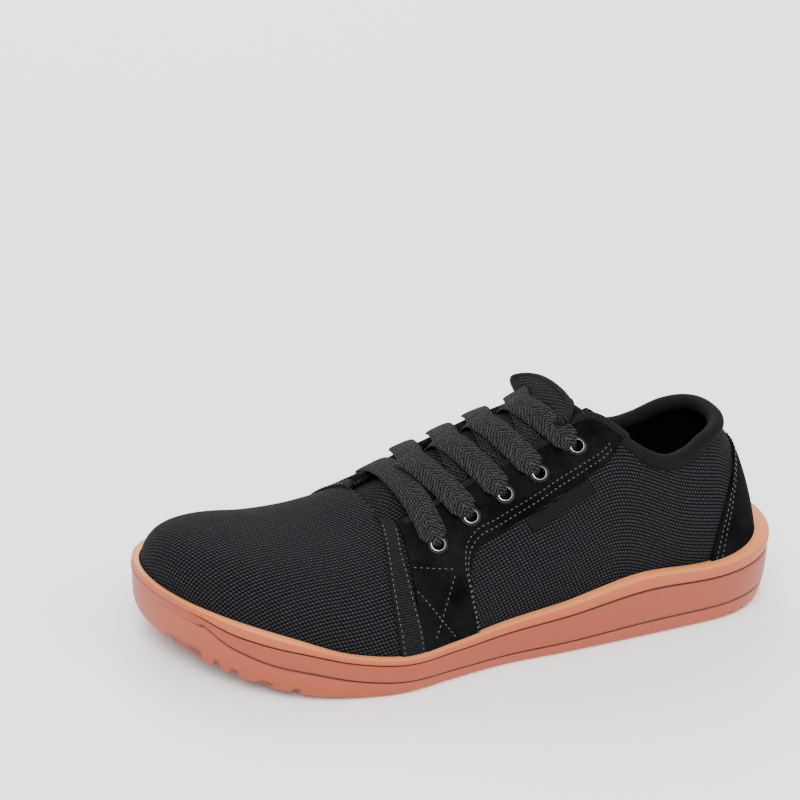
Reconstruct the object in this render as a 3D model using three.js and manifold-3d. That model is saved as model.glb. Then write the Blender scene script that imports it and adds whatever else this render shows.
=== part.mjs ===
// A lace-up walking shoe for the left foot: a knitted upper with suede panels on a gum cup sole.
// Millimetres. +X runs from the heel to the toe, +Y to the outer side of the foot, +Z up.
// The origin ends up on the floor under the middle of the shoe.

import * as THREE from 'three';
import { mergeVertices } from 'three/addons/utils/BufferGeometryUtils.js';
import Module from 'manifold-3d';

const wasm = await Module();
wasm.setup();

// Sizes of the whole shoe
const soleLength = 283;
const ballWidth = 114;
const instepHeight = 104;
const heelHeight = 85;

// Sizes of the sole
const lipHeight = 33;
const floorThickness = 8;
const toeSpring = 12;
const heelBevel = 3;
const heelCorner = 45;
const toeCorner = 71;
const heelMargin = 5;
const toeMargin = 2.4;
const treadDepth = 2.4;
const treadRim = 11;
const hexPitch = 15.6;
const hexAcross = 12.3;
const waveSpacing = 7.8;
const waveWidth = 2.6;
const waveSwing = 2.6;

// Walls, layers and clearances
const gap = 0.3;
const upperWall = 2;
const suedeThickness = 1.1;
const tongueThickness = 3;
const tongueBulge = 4.2;
const tipRise = { middle: 1.8, side: 6 };
const insoleThickness = 4;
const collarSize = 7;
const collarEnd = 3.4;

// Eyelets and laces
const eyeletBore = 2.5;
const eyeletBarrel = 3;
const eyeletFlange = 4.4;
const eyeletRoll = 1;
const laceWidth = 8.6;
const laceThickness = 1.5;
const laceGap = 1.2;

// Where forms begin and end, as shares of the sole's length
const springFrom = 0.72;
const treadSpringFrom = 0.7;
const bevelEnd = 0.085;
const fanRear = 0.155;
const fanFront = 0.795;
const bumperFrom = 0.8;
const bumperTo = 0.86;
const lugField = { rear: 0.15, front: 0.835 };
const waveRows = { heel: 0.125, toe: 0.855 };
const collarTaper = { from: 0.27, to: 0.33 };
const rollEnd = 0.335;
const tongueSwell = 0.06;

// Other shares: how square the heel is seen from above, the part of the toe spring that the last
// follows, the first hexagon's place, how much of a hexagon may lie past the field's edge, the
// heights that side panels start and turn at, the eyestays' ends, and how oval the collar is.
const heelSquareness = 2.4;
const springShare = 0.84;
const firstLug = { along: 0.7265, across: 0.171 };
const panelFoot = 0.1;
const tapeKnee = 0.55;
const tapeBend = 0.38;
const stayEnd = 0.3;
const abovePanels = 1.2;
const lugOverhang = 0.6;
const rollOval = 0.9;
const underTongue = 0.68;

// How finely the curved forms are faceted, and how many wave lugs lie at each end
const anglesPerSide = 22;
const stepsUpSide = 8;
const roundSides = 10;
const hexSides = 6;
const rollSides = 8;
const rollSteps = 28;
const mouthSteps = 30;
const waveSteps = 12;
const barSteps = 12;
const crossingSteps = 8;
const tongueRows = { body: 10, tip: 2 };
const throatFan = { first: 60, step: 4, count: 13 };
const halvings = 30;
const waveCount = 5;

// Small steps that slopes are measured over: round and up the last, and along the shoe
const slopeStep = { surface: 0.02, across: 0.05, along: 2 };

// Outline of the sole from above. Along is a share of the sole's length, middle and half of the
// ball's width, and lip a share of the lip's height.
const soleRows = [
  { along: 0.0, middle: 0.055, half: 0.345, lip: 0.98 },
  { along: 0.16, middle: 0.075, half: 0.347, lip: 0.87 },
  { along: 0.28, middle: 0.077, half: 0.357, lip: 0.92 },
  { along: 0.417, middle: 0.058, half: 0.382, lip: 0.73 },
  { along: 0.516, middle: 0.034, half: 0.406, lip: 0.62 },
  { along: 0.604, middle: 0.008, half: 0.458, lip: 0.54 },
  { along: 0.69, middle: 0.004, half: 0.494, lip: 0.52 },
  { along: 0.77, middle: -0.012, half: 0.49, lip: 0.62 },
  { along: 0.854, middle: -0.043, half: 0.492, lip: 0.82 },
  { along: 0.94, middle: -0.112, half: 0.5, lip: 0.95 },
  { along: 1.0, middle: -0.175, half: 0.5, lip: 1.0 },
];

// Sections of the last. Ridge is a share of the instep's height, spine of the ball's width, and
// fullness is how square a section is: 2 is round, more is squarer.
const lastRows = [
  { along: 0.0, ridge: 0.885, spine: 0.06, fullness: 1.5 },
  { along: 0.2, ridge: 0.913, spine: 0.05, fullness: 2.0 },
  { along: 0.345, ridge: 0.995, spine: 0.004, fullness: 2.1 },
  { along: 0.38, ridge: 0.947, spine: -0.005, fullness: 2.2 },
  { along: 0.417, ridge: 0.875, spine: -0.015, fullness: 2.4 },
  { along: 0.46, ridge: 0.827, spine: -0.025, fullness: 2.5 },
  { along: 0.55, ridge: 0.716, spine: -0.04, fullness: 2.35 },
  { along: 0.66, ridge: 0.572, spine: -0.052, fullness: 2.2 },
  { along: 0.76, ridge: 0.495, spine: -0.07, fullness: 2.3 },
  { along: 0.86, ridge: 0.5, spine: -0.09, fullness: 2.45 },
  { along: 0.94, ridge: 0.548, spine: -0.11, fullness: 2.8 },
  { along: 1.0, ridge: 0.625, spine: -0.12, fullness: 3.1 },
];

// Top of the padded collar seen from the side, as shares of the sole's length and of the heel's
// height. The inner side dips lower than the outer one.
const collarRows = [
  { along: -0.1, outer: 1.02, inner: 1.02 },
  { along: 0.115, outer: 1.0, inner: 1.0 },
  { along: 0.16, outer: 0.965, inner: 0.95 },
  { along: 0.2, outer: 0.915, inner: 0.872 },
  { along: 0.232, outer: 0.905, inner: 0.845 },
  { along: 0.262, outer: 0.94, inner: 0.875 },
  { along: 0.29, outer: 0.998, inner: 0.935 },
  { along: 0.32, outer: 1.075, inner: 1.02 },
  { along: 0.346, outer: 1.135, inner: 1.1 },
  { along: 0.38, outer: 1.16, inner: 1.14 },
];

// Levels of the sole's side, from the tread to the lip. Share is of the wall's height there, in
// is how far the level lies inside the outline, and line marks the grooves that fade at the toe.
const sideLevels = [
  { share: 0.0, inset: 3.6, line: false },
  { share: 0.1, inset: 1.1, line: false },
  { share: 0.27, inset: 0.5, line: false },
  { share: 0.3, inset: 0.9, line: true },
  { share: 0.34, inset: 0.0, line: false },
  { share: 0.76, inset: 0.3, line: false },
  { share: 0.79, inset: 1.1, line: true },
  { share: 0.83, inset: 0.4, line: false },
  { share: 1.0, inset: 1.0, line: false },
];

// Eyelets from the toe end up. Turn is the angle round the last in degrees from the heel, and
// up is how far up the side of the last the eyelet lies.
const eyeletRows = [
  { turn: 103.1, up: 0.55 },
  { turn: 96.4, up: 0.585 },
  { turn: 89.9, up: 0.6 },
  { turn: 83.5, up: 0.62 },
  { turn: 75.8, up: 0.64 },
];

// Edges seen from the side, as shares of the sole's length and of the instep's height.
const eyestayEdge = [
  { along: 0.566, height: 0.1 },
  { along: 0.573, height: 0.3 },
  { along: 0.576, height: 0.41 },
  { along: 0.569, height: 0.463 },
  { along: 0.55, height: 0.51 },
  { along: 0.52, height: 0.543 },
  { along: 0.484, height: 0.587 },
  { along: 0.43, height: 0.652 },
  { along: 0.376, height: 0.715 },
  { along: 0.342, height: 0.758 },
  { along: 0.312, height: 0.826 },
];
const counterEdge = [
  { along: 0.165, height: 0.1 },
  { along: 0.16, height: 0.275 },
  { along: 0.147, height: 0.4 },
  { along: 0.128, height: 0.52 },
  { along: 0.1, height: 0.65 },
  { along: 0.06, height: 0.7 },
];
const tapeFront = { top: 0.673, bend: 0.701, foot: 0.698 };
const tapeRear = { top: 0.655, bend: 0.668, foot: 0.656 };
const labelEdge = [
  { along: 0.483, height: 0.579 },
  { along: 0.378, height: 0.704 },
  { along: 0.367, height: 0.656 },
  { along: 0.472, height: 0.538 },
];

// The throat's edge and the tongue's edge are shares of the way up the side of the last. Fronts
// and ends are shares of the sole's length.
const throatUp = 0.785;
const throatFront = 0.671;
const tongueUp = 0.62;
const tongueFront = 0.735;
const tongueEnd = { middle: 0.371, corner: 0.352 };
const tongueBend = { middle: 0.396, corner: 0.36 };

const gum = material(0xc97f63, 0.55, 0);
const knit = material(0x1b1b1d, 0.95, 0);
const suede = material(0x141416, 0.9, 0);
const ribbon = material(0x202022, 0.85, 0);
const lining = material(0x17171a, 0.8, 0);
const foam = material(0x232326, 0.9, 0);
const steel = material(0xc8c8cc, 0.25, 1);
const lace = material(0x1f1f21, 0.85, 0);

function material(color, roughness, metalness) {
  return new THREE.MeshStandardMaterial({ color, roughness, metalness, flatShading: true });
}

// Reads one column of a table at a place along it, as a smooth curve through the rows.
function column(rows, name, along) {
  const count = rows.length;
  const at = Math.min(Math.max(along, rows[0].along), rows[count - 1].along);
  let k = 0;
  while (k < count - 2 && rows[k + 1].along < at) k += 1;
  const slope = (i) => (rows[i + 1][name] - rows[i][name]) / (rows[i + 1].along - rows[i].along);
  const tangent = (i) => {
    if (i === 0) return slope(0);
    if (i === count - 1) return slope(count - 2);
    const before = rows[i].along - rows[i - 1].along;
    const after = rows[i + 1].along - rows[i].along;
    return (slope(i - 1) * after + slope(i) * before) / (before + after);
  };
  const width = rows[k + 1].along - rows[k].along;
  const t = (at - rows[k].along) / width;
  const start = rows[k][name];
  const end = rows[k + 1][name];
  const rise = end - start;
  const a = width * tangent(k) - rise;
  const b = rise - width * tangent(k + 1);
  return start + t * rise + t * (1 - t) * (a * (1 - t) + b * t);
}

function clamp(value) {
  return Math.min(Math.max(value, 0), 1);
}

// How far the last's feather edge rises towards the toe.
function springAt(x) {
  const t = Math.max((x / soleLength - springFrom) / (1 - springFrom), 0);
  return toeSpring * springShare * t * t;
}

// Underside of the sole: flat from the heel to the ball, bevelled behind and sprung at the toe.
function treadAt(x) {
  const toe = Math.max((x / soleLength - treadSpringFrom) / (1 - treadSpringFrom), 0);
  const heel = Math.max(1 - x / (soleLength * bevelEnd), 0);
  return toeSpring * toe * toe + heelBevel * heel * heel;
}

function lipAt(x) {
  return lipHeight * column(soleRows, 'lip', x / soleLength);
}

// A point on the sole's outline seen from above, moved inwards by a margin at heel and toe.
// The turn is 0 at the heel, half a circle at the toe, and positive on the outer side.
function outlineAt(turn, heelIn, toeIn) {
  const share = (1 - Math.cos(turn)) / 2;
  const x = heelIn + (soleLength - heelIn - toeIn) * share;
  const back = clamp(1 - (x - heelIn) / (heelCorner - heelIn));
  const front = clamp((x - soleLength + toeCorner) / (toeCorner - toeIn));
  const heelRound = (1 - back ** heelSquareness) ** (1 / heelSquareness);
  const round = heelRound * Math.sqrt(Math.max(1 - front * front, 0));
  const inset = heelIn + (toeIn - heelIn) * share;
  const half = ballWidth * column(soleRows, 'half', x / soleLength) - inset;
  const side = Math.sign(Math.round(Math.sin(turn) * 1e6));
  return { x, y: ballWidth * column(soleRows, 'middle', x / soleLength) + side * half * round };
}

// A point on the last, moved outwards by an offset. Up runs from the feather edge to the ridge.
function lastAt(turn, up, offset) {
  const edge = outlineAt(turn, heelMargin - offset, toeMargin - offset);
  const centre = Math.min(Math.max(edge.x, fanRear * soleLength), fanFront * soleLength);
  const spine = ballWidth * column(lastRows, 'spine', centre / soleLength);
  const power = 2 / column(lastRows, 'fullness', edge.x / soleLength);
  const out = up >= 1 ? 0 : Math.cos((up * Math.PI) / 2) ** power;
  const rise = Math.sin((up * Math.PI) / 2) ** power;
  const x = centre + (edge.x - centre) * out;
  const ridge = instepHeight * column(lastRows, 'ridge', x / soleLength) + offset;
  return new THREE.Vector3(
    x,
    spine + (edge.y - spine) * out,
    floorThickness + (ridge - floorThickness) * rise + springAt(x) * (1 - rise),
  );
}

// Square to the last's surface, pointing out of the shoe.
function outwardAt(turn, up) {
  const step = slopeStep.surface;
  const round = lastAt(turn + step, up, 0).sub(lastAt(turn - step, up, 0));
  const rise = lastAt(turn, up + step, 0).sub(lastAt(turn, up - step, 0));
  const out = round.cross(rise).normalize();
  const away = lastAt(turn, up, 1).sub(lastAt(turn, up, 0));
  return out.dot(away) < 0 ? out.negate() : out;
}

const turnsRound = [...Array(2 * anglesPerSide).keys()].map((i) => (Math.PI * i) / anglesPerSide);

// Turns a list of corner triples into a solid: shared corners are merged, and triangles that
// have lost their area at a pole are dropped.
function solidFrom(corners) {
  const positions = new Float32Array(corners.flatMap((p) => [p.x, p.y, p.z]));
  const loose = new THREE.BufferGeometry();
  loose.setAttribute('position', new THREE.BufferAttribute(positions, 3));
  return solidFromGeometry(loose);
}

function solidFromGeometry(geometry) {
  geometry.deleteAttribute('normal');
  geometry.deleteAttribute('uv');
  const merged = mergeVertices(geometry, 1e-4);
  const index = merged.index.array;
  const kept = [];
  for (let i = 0; i < index.length; i += 3) {
    const [a, b, c] = [index[i], index[i + 1], index[i + 2]];
    if (a !== b && b !== c && c !== a) kept.push(a, b, c);
  }
  const numbers = { numProp: 3, vertProperties: merged.attributes.position.array };
  const solid = new wasm.Manifold(new wasm.Mesh({ ...numbers, triVerts: Uint32Array.from(kept) }));
  if (solid.volume() > 0) return solid;
  const turned = kept.map((_, i) => kept[i - (i % 3) + [0, 2, 1][i % 3]]);
  return new wasm.Manifold(new wasm.Mesh({ ...numbers, triVerts: Uint32Array.from(turned) }));
}

// Skins a stack of rings that go once round the shoe. Each end is closed by strips from side
// to side, or left to meet along the ridge.
function shoeSolid(rings, closeTop) {
  const corners = [];
  const count = turnsRound.length;
  for (let k = 0; k + 1 < rings.length; k += 1) {
    for (let i = 0; i < count; i += 1) {
      const j = (i + 1) % count;
      const [a, b, c, d] = [rings[k][i], rings[k][j], rings[k + 1][j], rings[k + 1][i]];
      corners.push(a, b, c, a, c, d);
    }
  }
  const across = (ring, up) => {
    for (let i = 0; i < anglesPerSide; i += 1) {
      const [a, b] = [ring[i], ring[i + 1]];
      const [c, d] = [ring[(count - i - 1) % count], ring[(count - i) % count]];
      if (up) corners.push(a, b, c, a, c, d);
      else corners.push(a, c, b, a, d, c);
    }
  };
  across(rings[0], false);
  if (closeTop) across(rings[rings.length - 1], true);
  return solidFrom(corners);
}

// The last as a solid, moved outwards by an offset, with its underside lowered by a drop.
function lastSolid(offset, drop) {
  const rings = [];
  if (drop > 0) {
    const down = new THREE.Vector3(0, 0, -drop);
    rings.push(turnsRound.map((turn) => lastAt(turn, 0, offset).add(down)));
  }
  for (let k = 0; k <= stepsUpSide; k += 1) {
    rings.push(turnsRound.map((turn) => lastAt(turn, k / stepsUpSide, offset)));
  }
  return shoeSolid(rings, false);
}

// A prism over an outline seen from above, or over one seen from the side.
function planPrism(points, from, to) {
  const shape = new THREE.Shape(points.map((p) => new THREE.Vector2(p[0], p[1])));
  const geometry = new THREE.ExtrudeGeometry(shape, { depth: to - from, bevelEnabled: false });
  return solidFromGeometry(geometry.translate(0, 0, from));
}

function sidePrism(points, from, to) {
  const shape = new THREE.Shape(points.map((p) => new THREE.Vector2(p[0], p[1])));
  const geometry = new THREE.ExtrudeGeometry(shape, { depth: to - from, bevelEnabled: false });
  return solidFromGeometry(geometry.rotateX(Math.PI / 2).translate(0, to, 0));
}

// Prism over an outline seen from the side, through one half of the shoe.
function onSide(points, side) {
  return side > 0 ? sidePrism(points, 0, ballWidth) : sidePrism(points, -ballWidth, 0);
}

function sideOutline(rows) {
  return rows.map((row) => [row.along * soleLength, row.height * instepHeight]);
}

// Skins a row of closed sections with a flat fan over each end.
function sweepSolid(sections) {
  const corners = [];
  for (let k = 0; k + 1 < sections.length; k += 1) {
    const count = sections[k].length;
    for (let i = 0; i < count; i += 1) {
      const j = (i + 1) % count;
      const [a, b] = [sections[k][i], sections[k][j]];
      const [c, d] = [sections[k + 1][j], sections[k + 1][i]];
      corners.push(a, b, c, a, c, d);
    }
  }
  const fan = (ring, ahead) => {
    for (let i = 1; i + 1 < ring.length; i += 1) {
      if (ahead) corners.push(ring[0], ring[i], ring[i + 1]);
      else corners.push(ring[0], ring[i + 1], ring[i]);
    }
  };
  fan(sections[0], false);
  fan(sections[sections.length - 1], true);
  return solidFrom(corners);
}

const shoe = new THREE.Group();

function addPart(name, solid, finish) {
  const data = solid.getMesh();
  const geometry = new THREE.BufferGeometry();
  const positions = Float32Array.from(data.vertProperties);
  geometry.setAttribute('position', new THREE.BufferAttribute(positions, 3));
  geometry.setIndex(new THREE.BufferAttribute(Uint32Array.from(data.triVerts), 1));
  const mesh = new THREE.Mesh(geometry, finish);
  mesh.name = name;
  shoe.add(mesh);
}

// Outside of the sole, grown by a clearance where other pieces are trimmed to it.
function soleBody(clearance) {
  const rings = sideLevels.map((level, k) =>
    turnsRound.map((turn) => {
      const x0 = outlineAt(turn, 0, 0).x;
      const fade = level.line ? clamp((bumperTo - x0 / soleLength) / (bumperTo - bumperFrom)) : 1;
      const smooth = level.line ? sideLevels[k - 1].inset * (1 - fade) : 0;
      const inset = level.inset * fade + smooth - clearance;
      const point = outlineAt(turn, inset, inset);
      const low = treadAt(point.x);
      const top = lipAt(point.x) + clearance;
      return new THREE.Vector3(point.x, point.y, low + (top - low) * level.share);
    }),
  );
  return shoeSolid(rings, true);
}

// Layer of the sole between the tread and the bottom of its grooves, right across the shoe.
function treadLayer() {
  const rest = 1 - treadSpringFrom;
  const toeward = [0, 0.2, 0.4, 0.6, 0.8, 1].map((share) => treadSpringFrom + rest * share);
  const places = [0, bevelEnd / 3, bevelEnd, ...toeward].map((share) => share * soleLength);
  const top = places.map((x) => [x, treadAt(x) + treadDepth]);
  const bottom = places.toReversed().map((x) => [x, treadAt(x) - treadDepth]);
  return sidePrism([...top, ...bottom], -ballWidth, ballWidth);
}

// Recessed field of hexagon lugs between the wave lugs of heel and toe.
function hexField() {
  const rear = lugField.rear * soleLength;
  const front = lugField.front * soleLength;
  const inside = (turn) => outlineAt(turn, treadRim, treadRim);
  const half = turnsRound.slice(0, anglesPerSide + 1);
  const outer = half.map(inside).filter((p) => p.x > rear && p.x < front);
  const inner = half.map((turn) => inside(-turn)).filter((p) => p.x > rear && p.x < front);
  const field = [...outer, ...inner.reverse()].map((p) => [p.x, p.y]);
  const radius = hexAcross / Math.sqrt(3);
  const rowStep = hexPitch * Math.sqrt(0.75);
  const start = { x: firstLug.along * soleLength, y: firstLug.across * ballWidth };
  const rows = Math.ceil(ballWidth / 2 / rowStep) + 1;
  const most = Math.ceil(soleLength / hexPitch);
  const lugs = [];
  for (let row = -rows; row <= rows; row += 1) {
    for (let k = -most; k <= most; k += 1) {
      const x = start.x + hexPitch * (k + 0.5 * Math.abs(row % 2));
      const y = start.y + rowStep * row;
      if (x < rear - radius || x > front + radius) continue;
      const edge = outlineAt(Math.acos(1 - (2 * x) / soleLength), 0, 0);
      const middle = ballWidth * column(soleRows, 'middle', x / soleLength);
      const room = Math.abs(edge.y - middle) - treadRim + radius * lugOverhang;
      if (Math.abs(y - middle) < room) {
        const corner = (i) => {
          const angle = ((i + 0.5) * 2 * Math.PI) / hexSides;
          return [x + radius * Math.cos(angle), y + radius * Math.sin(angle)];
        };
        const corners = [...Array(hexSides).keys()].map(corner);
        lugs.push(planPrism(corners, -treadDepth, toeSpring + lipHeight));
      }
    }
  }
  return planPrism(field, -treadDepth, toeSpring + lipHeight).subtract(wasm.Manifold.union(lugs));
}

// Wavy grooves across the sole: five behind the hexagons and five in front of them.
function waveGrooves() {
  const places = [];
  for (let i = 0; i < waveCount; i += 1) {
    places.push(waveRows.heel * soleLength - i * waveSpacing);
    places.push(waveRows.toe * soleLength + i * waveSpacing);
  }
  const across = [...Array(waveSteps + 1).keys()].map((i) => ballWidth * (i / waveSteps - 0.5));
  const swing = (y) => waveSwing * Math.cos((Math.PI * y) / hexPitch);
  return places.map((x) => {
    const front = across.map((y) => [x + swing(y) + waveWidth / 2, y]);
    const rear = across.map((y) => [x + swing(y) - waveWidth / 2, y]).reverse();
    return planPrism([...front, ...rear], -treadDepth, toeSpring + lipHeight);
  });
}

const cavity = lastSolid(gap, gap);
const tread = wasm.Manifold.union([hexField(), ...waveGrooves()]).intersect(treadLayer());
addPart('outsole', soleBody(0).subtract(cavity).subtract(tread), gum);

// Insole on the floor of the cup, inside the upper.
function insole() {
  const inset = upperWall + 2 * gap;
  const ring = (lift) =>
    turnsRound.map((turn) => {
      const point = outlineAt(turn, heelMargin + inset, toeMargin + inset);
      return new THREE.Vector3(point.x, point.y, floorThickness + springAt(point.x) + lift);
    });
  return shoeSolid([ring(0), ring(insoleThickness)], true);
}
addPart('insole', insole(), foam);

// Height of the padded collar's section, which tapers where it runs out into the eyestays.
function collarSizeAt(x) {
  const share = clamp((x / soleLength - collarTaper.from) / (collarTaper.to - collarTaper.from));
  return collarSize + (collarEnd - collarSize) * share;
}

// Height of the collar's edge at a depth below its top, measured square to the edge.
function collarLine(x, depth, side) {
  const name = side > 0 ? 'outer' : 'inner';
  const height = (place) => heelHeight * column(collarRows, name, place / soleLength);
  const slope = (height(x + 1) - height(x - 1)) / 2;
  return height(x) - depth * Math.hypot(1, slope);
}

const throatTurns = [...Array(throatFan.count).keys()].map((i) =>
  THREE.MathUtils.degToRad(throatFan.first + throatFan.step * i),
);

// Everything above the collar's seam, and the throat between the eyestays.
function upperOpening() {
  const first = collarRows[0].along * soleLength;
  const end = rollEnd * soleLength + collarEnd / 2;
  const last = collarRows[collarRows.length - 1].along * soleLength;
  const high = 2 * instepHeight;
  const mouth = (side) => {
    const line = [...Array(mouthSteps + 1).keys()].map((i) => {
      const x = first + ((end - first) * i) / mouthSteps;
      return [x, collarLine(x, collarSizeAt(x) + 2 * gap, side)];
    });
    const ear = [end + gap, (end + last) / 2, last].map((x) => [x, collarLine(x, 0, side)]);
    return onSide([...line, ...ear, [last, high], [first, high]], side);
  };
  const front = throatFront * soleLength;
  const rim = (side) => {
    const places = throatTurns.map((turn) => lastAt(side * turn, throatUp, 0));
    const line = places.filter((p) => p.x < front).map((p) => [p.x, p.y]);
    return [...line, [front, line[line.length - 1][1]]];
  };
  const throat = planPrism([...rim(1), ...rim(-1).reverse()], floorThickness + insoleThickness, high);
  return mouth(1).add(mouth(-1)).add(throat);
}

// Places a turned solid on the last with its axis along the surface's normal.
function onLast(geometry, turn, up, height) {
  const out = outwardAt(turn, up);
  const place = lastAt(turn, up, 0).addScaledVector(out, height);
  const turned = new THREE.Quaternion().setFromUnitVectors(new THREE.Vector3(0, 0, 1), out);
  const placed = geometry.clone().applyQuaternion(turned);
  return solidFromGeometry(placed.translate(place.x, place.y, place.z));
}

const eyeletPlaces = [];
for (const side of [1, -1]) {
  for (const row of eyeletRows) {
    eyeletPlaces.push({ side, turn: side * THREE.MathUtils.degToRad(row.turn), up: row.up });
  }
}

const holeRadius = eyeletBarrel + gap;
const holeLength = 4 * (upperWall + suedeThickness);
const eyeletHole = new THREE.CylinderGeometry(holeRadius, holeRadius, holeLength, roundSides);
eyeletHole.rotateX(Math.PI / 2);
const holes = wasm.Manifold.union(eyeletPlaces.map((e) => onLast(eyeletHole, e.turn, e.up, 0)));

// Knitted upper: one wall between two forms of the last, open underneath, at the collar and at
// the throat.
const opening = upperOpening();
const wall = lastSolid(0, 0).subtract(lastSolid(-upperWall, floorThickness));
addPart('upper', wall.subtract(opening).subtract(holes), knit);

// Panels lie on the upper and stop just above the sole's lip.
const soleClear = soleBody(gap);
const panelSkin = lastSolid(gap + suedeThickness, 0).subtract(lastSolid(gap, 1)).subtract(soleClear);

for (const [name, side] of [['outer', 1], ['inner', -1]]) {
  const high = abovePanels * instepHeight;
  const tapeSide = (ends, shift) => [
    [ends.foot * soleLength - shift, panelFoot * instepHeight],
    [ends.bend * soleLength - shift, tapeBend * instepHeight],
    [ends.top * soleLength - shift, tapeKnee * instepHeight],
    [ends.top * soleLength - shift, high],
  ];
  const front = tapeSide(tapeRear, gap).reverse();
  const stay = [...sideOutline(eyestayEdge), [stayEnd * soleLength, high], ...front];
  const trimmed = panelSkin.subtract(opening).subtract(holes);
  addPart('eyestay_' + name, trimmed.intersect(onSide(stay, side)), suede);

  const strip = [...tapeSide(tapeRear, 0), ...tapeSide(tapeFront, 0).reverse()];
  addPart('vamp_tape_' + name, trimmed.intersect(onSide(strip, side)), ribbon);
}

const counterTop = instepHeight * counterEdge[counterEdge.length - 1].height;
const counterRear = [[-heelMargin, counterTop], [-heelMargin, panelFoot * instepHeight]];
const counter = [...sideOutline(counterEdge), ...counterRear];
addPart('heel_counter', panelSkin.intersect(sidePrism(counter, -ballWidth, ballWidth)), suede);

addPart('side_label', panelSkin.intersect(onSide(sideOutline(labelEdge), 1)), ribbon);

// Where a test that starts true along a share from 0 to 1 turns false.
function boundary(holds) {
  let [low, high] = [0, 1];
  for (let i = 0; i < halvings; i += 1) {
    const share = (low + high) / 2;
    if (holds(share)) low = share;
    else high = share;
  }
  return low;
}

// Padded collar: a soft roll along the top of the heel, swept through the places where the
// last crosses the middle of the roll.
function collarRoll() {
  const middle = (x, side) => collarLine(x, collarSizeAt(x) / 2, side);
  const crossing = (turn) => {
    const up = boundary((share) => {
      const p = lastAt(turn, share, -upperWall / 2);
      return p.z < middle(p.x, turn);
    });
    return { place: lastAt(turn, up, -upperWall / 2), out: outwardAt(turn, up) };
  };
  const limit = (side) => {
    const share = boundary((t) => crossing(side * Math.PI * t).place.x < rollEnd * soleLength);
    return share * Math.PI;
  };
  const [outerLimit, innerLimit] = [limit(1), limit(-1)];
  const stations = [...Array(rollSteps + 1).keys()].map((i) => {
    const share = (2 * i) / rollSteps - 1;
    return crossing(share * (share < 0 ? innerLimit : outerLimit));
  });
  const sections = stations.map((station, k) => {
    const before = stations[Math.max(k - 1, 0)].place;
    const after = stations[Math.min(k + 1, rollSteps)].place;
    const along = after.clone().sub(before).normalize();
    const out = station.out.clone().addScaledVector(along, -station.out.dot(along)).normalize();
    const rise = out.clone().cross(along).normalize();
    if (rise.z < 0) rise.negate();
    const half = (collarSizeAt(station.place.x) - gap) / 2;
    return [...Array(rollSides).keys()].map((i) => {
      const angle = ((i + 0.5) * 2 * Math.PI) / rollSides;
      const point = station.place.clone().addScaledVector(rise, half * Math.sin(angle));
      return point.addScaledVector(out, half * rollOval * Math.cos(angle));
    });
  });
  return sweepSolid(sections);
}
addPart('collar_roll', collarRoll(), lining);

// Tongue: a padded sheet under the eyestays that swells up through the throat. Its tip stands up
// between the ends of the eyestays.
const tongueEdge = (1 - throatUp) / (1 - tongueUp);
const tongueLie = -upperWall - 4 * gap;

function tongueLift(across) {
  const share = clamp(1 - (across / tongueEdge) ** 2);
  return tongueBulge * share * share;
}

function onTongue(x, across, offset) {
  const turn = Math.acos(1 - (2 * x) / soleLength);
  const side = across < 0 ? -1 : 1;
  return lastAt(side * turn, 1 - Math.abs(across) * (1 - tongueUp), offset);
}

// Lines along the tongue, as shares of the throat's half width and of the tongue's own. The tip
// rises towards its shoulders, and is free as far as its edge.
const tongueLines = { middle: [0.5, 0.86, 0.96], sides: [0.8, 1] };
const tipShoulder = 0.86;
const tipEdge = 0.9;

function tongue() {
  const half = [0, ...tongueLines.middle.map((share) => share * tongueEdge), ...tongueLines.sides];
  const places = [...half.slice(1).reverse().map((share) => -share), ...half];
  const columns = places.length - 1;
  const line = (ends, across) => {
    const share = ends.middle + (ends.corner - ends.middle) * Math.abs(across);
    return share * soleLength;
  };
  const sections = [...Array(tongueRows.body + tongueRows.tip + 1).keys()].map((k) => {
    const body = Math.min(k / tongueRows.body, 1);
    const tip = Math.max((k - tongueRows.body) / tongueRows.tip, 0);
    const place = (i, offset) => {
      const across = places[i];
      const bend = line(tongueBend, across);
      const front = tongueFront * soleLength;
      const x = front + (bend - front) * body + (line(tongueEnd, across) - bend) * tip;
      const cover = clamp((throatFront - x / soleLength) / tongueSwell);
      const side = clamp(Math.abs(across) / (tipShoulder * tongueEdge));
      const free = Math.abs(across) < tipEdge * tongueEdge ? tip : 0;
      const stand = free * (tipRise.middle + (tipRise.side - tipRise.middle) * side * side);
      const lift = tongueLift(across) * cover + stand;
      return onTongue(x, across, tongueLie + offset + lift);
    };
    const top = [...Array(columns + 1).keys()].map((i) => place(i, 0));
    const under = [...Array(columns + 1).keys()].map((i) => place(columns - i, -tongueThickness));
    return [...top, ...under];
  });
  return stripSolid(sections, columns);
}

// Skins a row of flat sections, each an upper row of points and a lower row going back, and
// closes each end between the two rows.
function stripSolid(sections, columns) {
  const corners = [];
  const count = sections[0].length;
  for (let k = 0; k + 1 < sections.length; k += 1) {
    for (let i = 0; i < count; i += 1) {
      const j = (i + 1) % count;
      const [a, b] = [sections[k][i], sections[k][j]];
      const [c, d] = [sections[k + 1][j], sections[k + 1][i]];
      corners.push(a, b, c, a, c, d);
    }
  }
  for (const [ring, ahead] of [[sections[0], false], [sections[sections.length - 1], true]]) {
    for (let i = 0; i < columns; i += 1) {
      const [a, b] = [ring[i], ring[i + 1]];
      const [c, d] = [ring[count - 2 - i], ring[count - 1 - i]];
      if (ahead) corners.push(a, b, c, a, c, d);
      else corners.push(a, c, b, a, d, c);
    }
  }
  return solidFrom(corners);
}
addPart('tongue', tongue(), knit);

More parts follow.
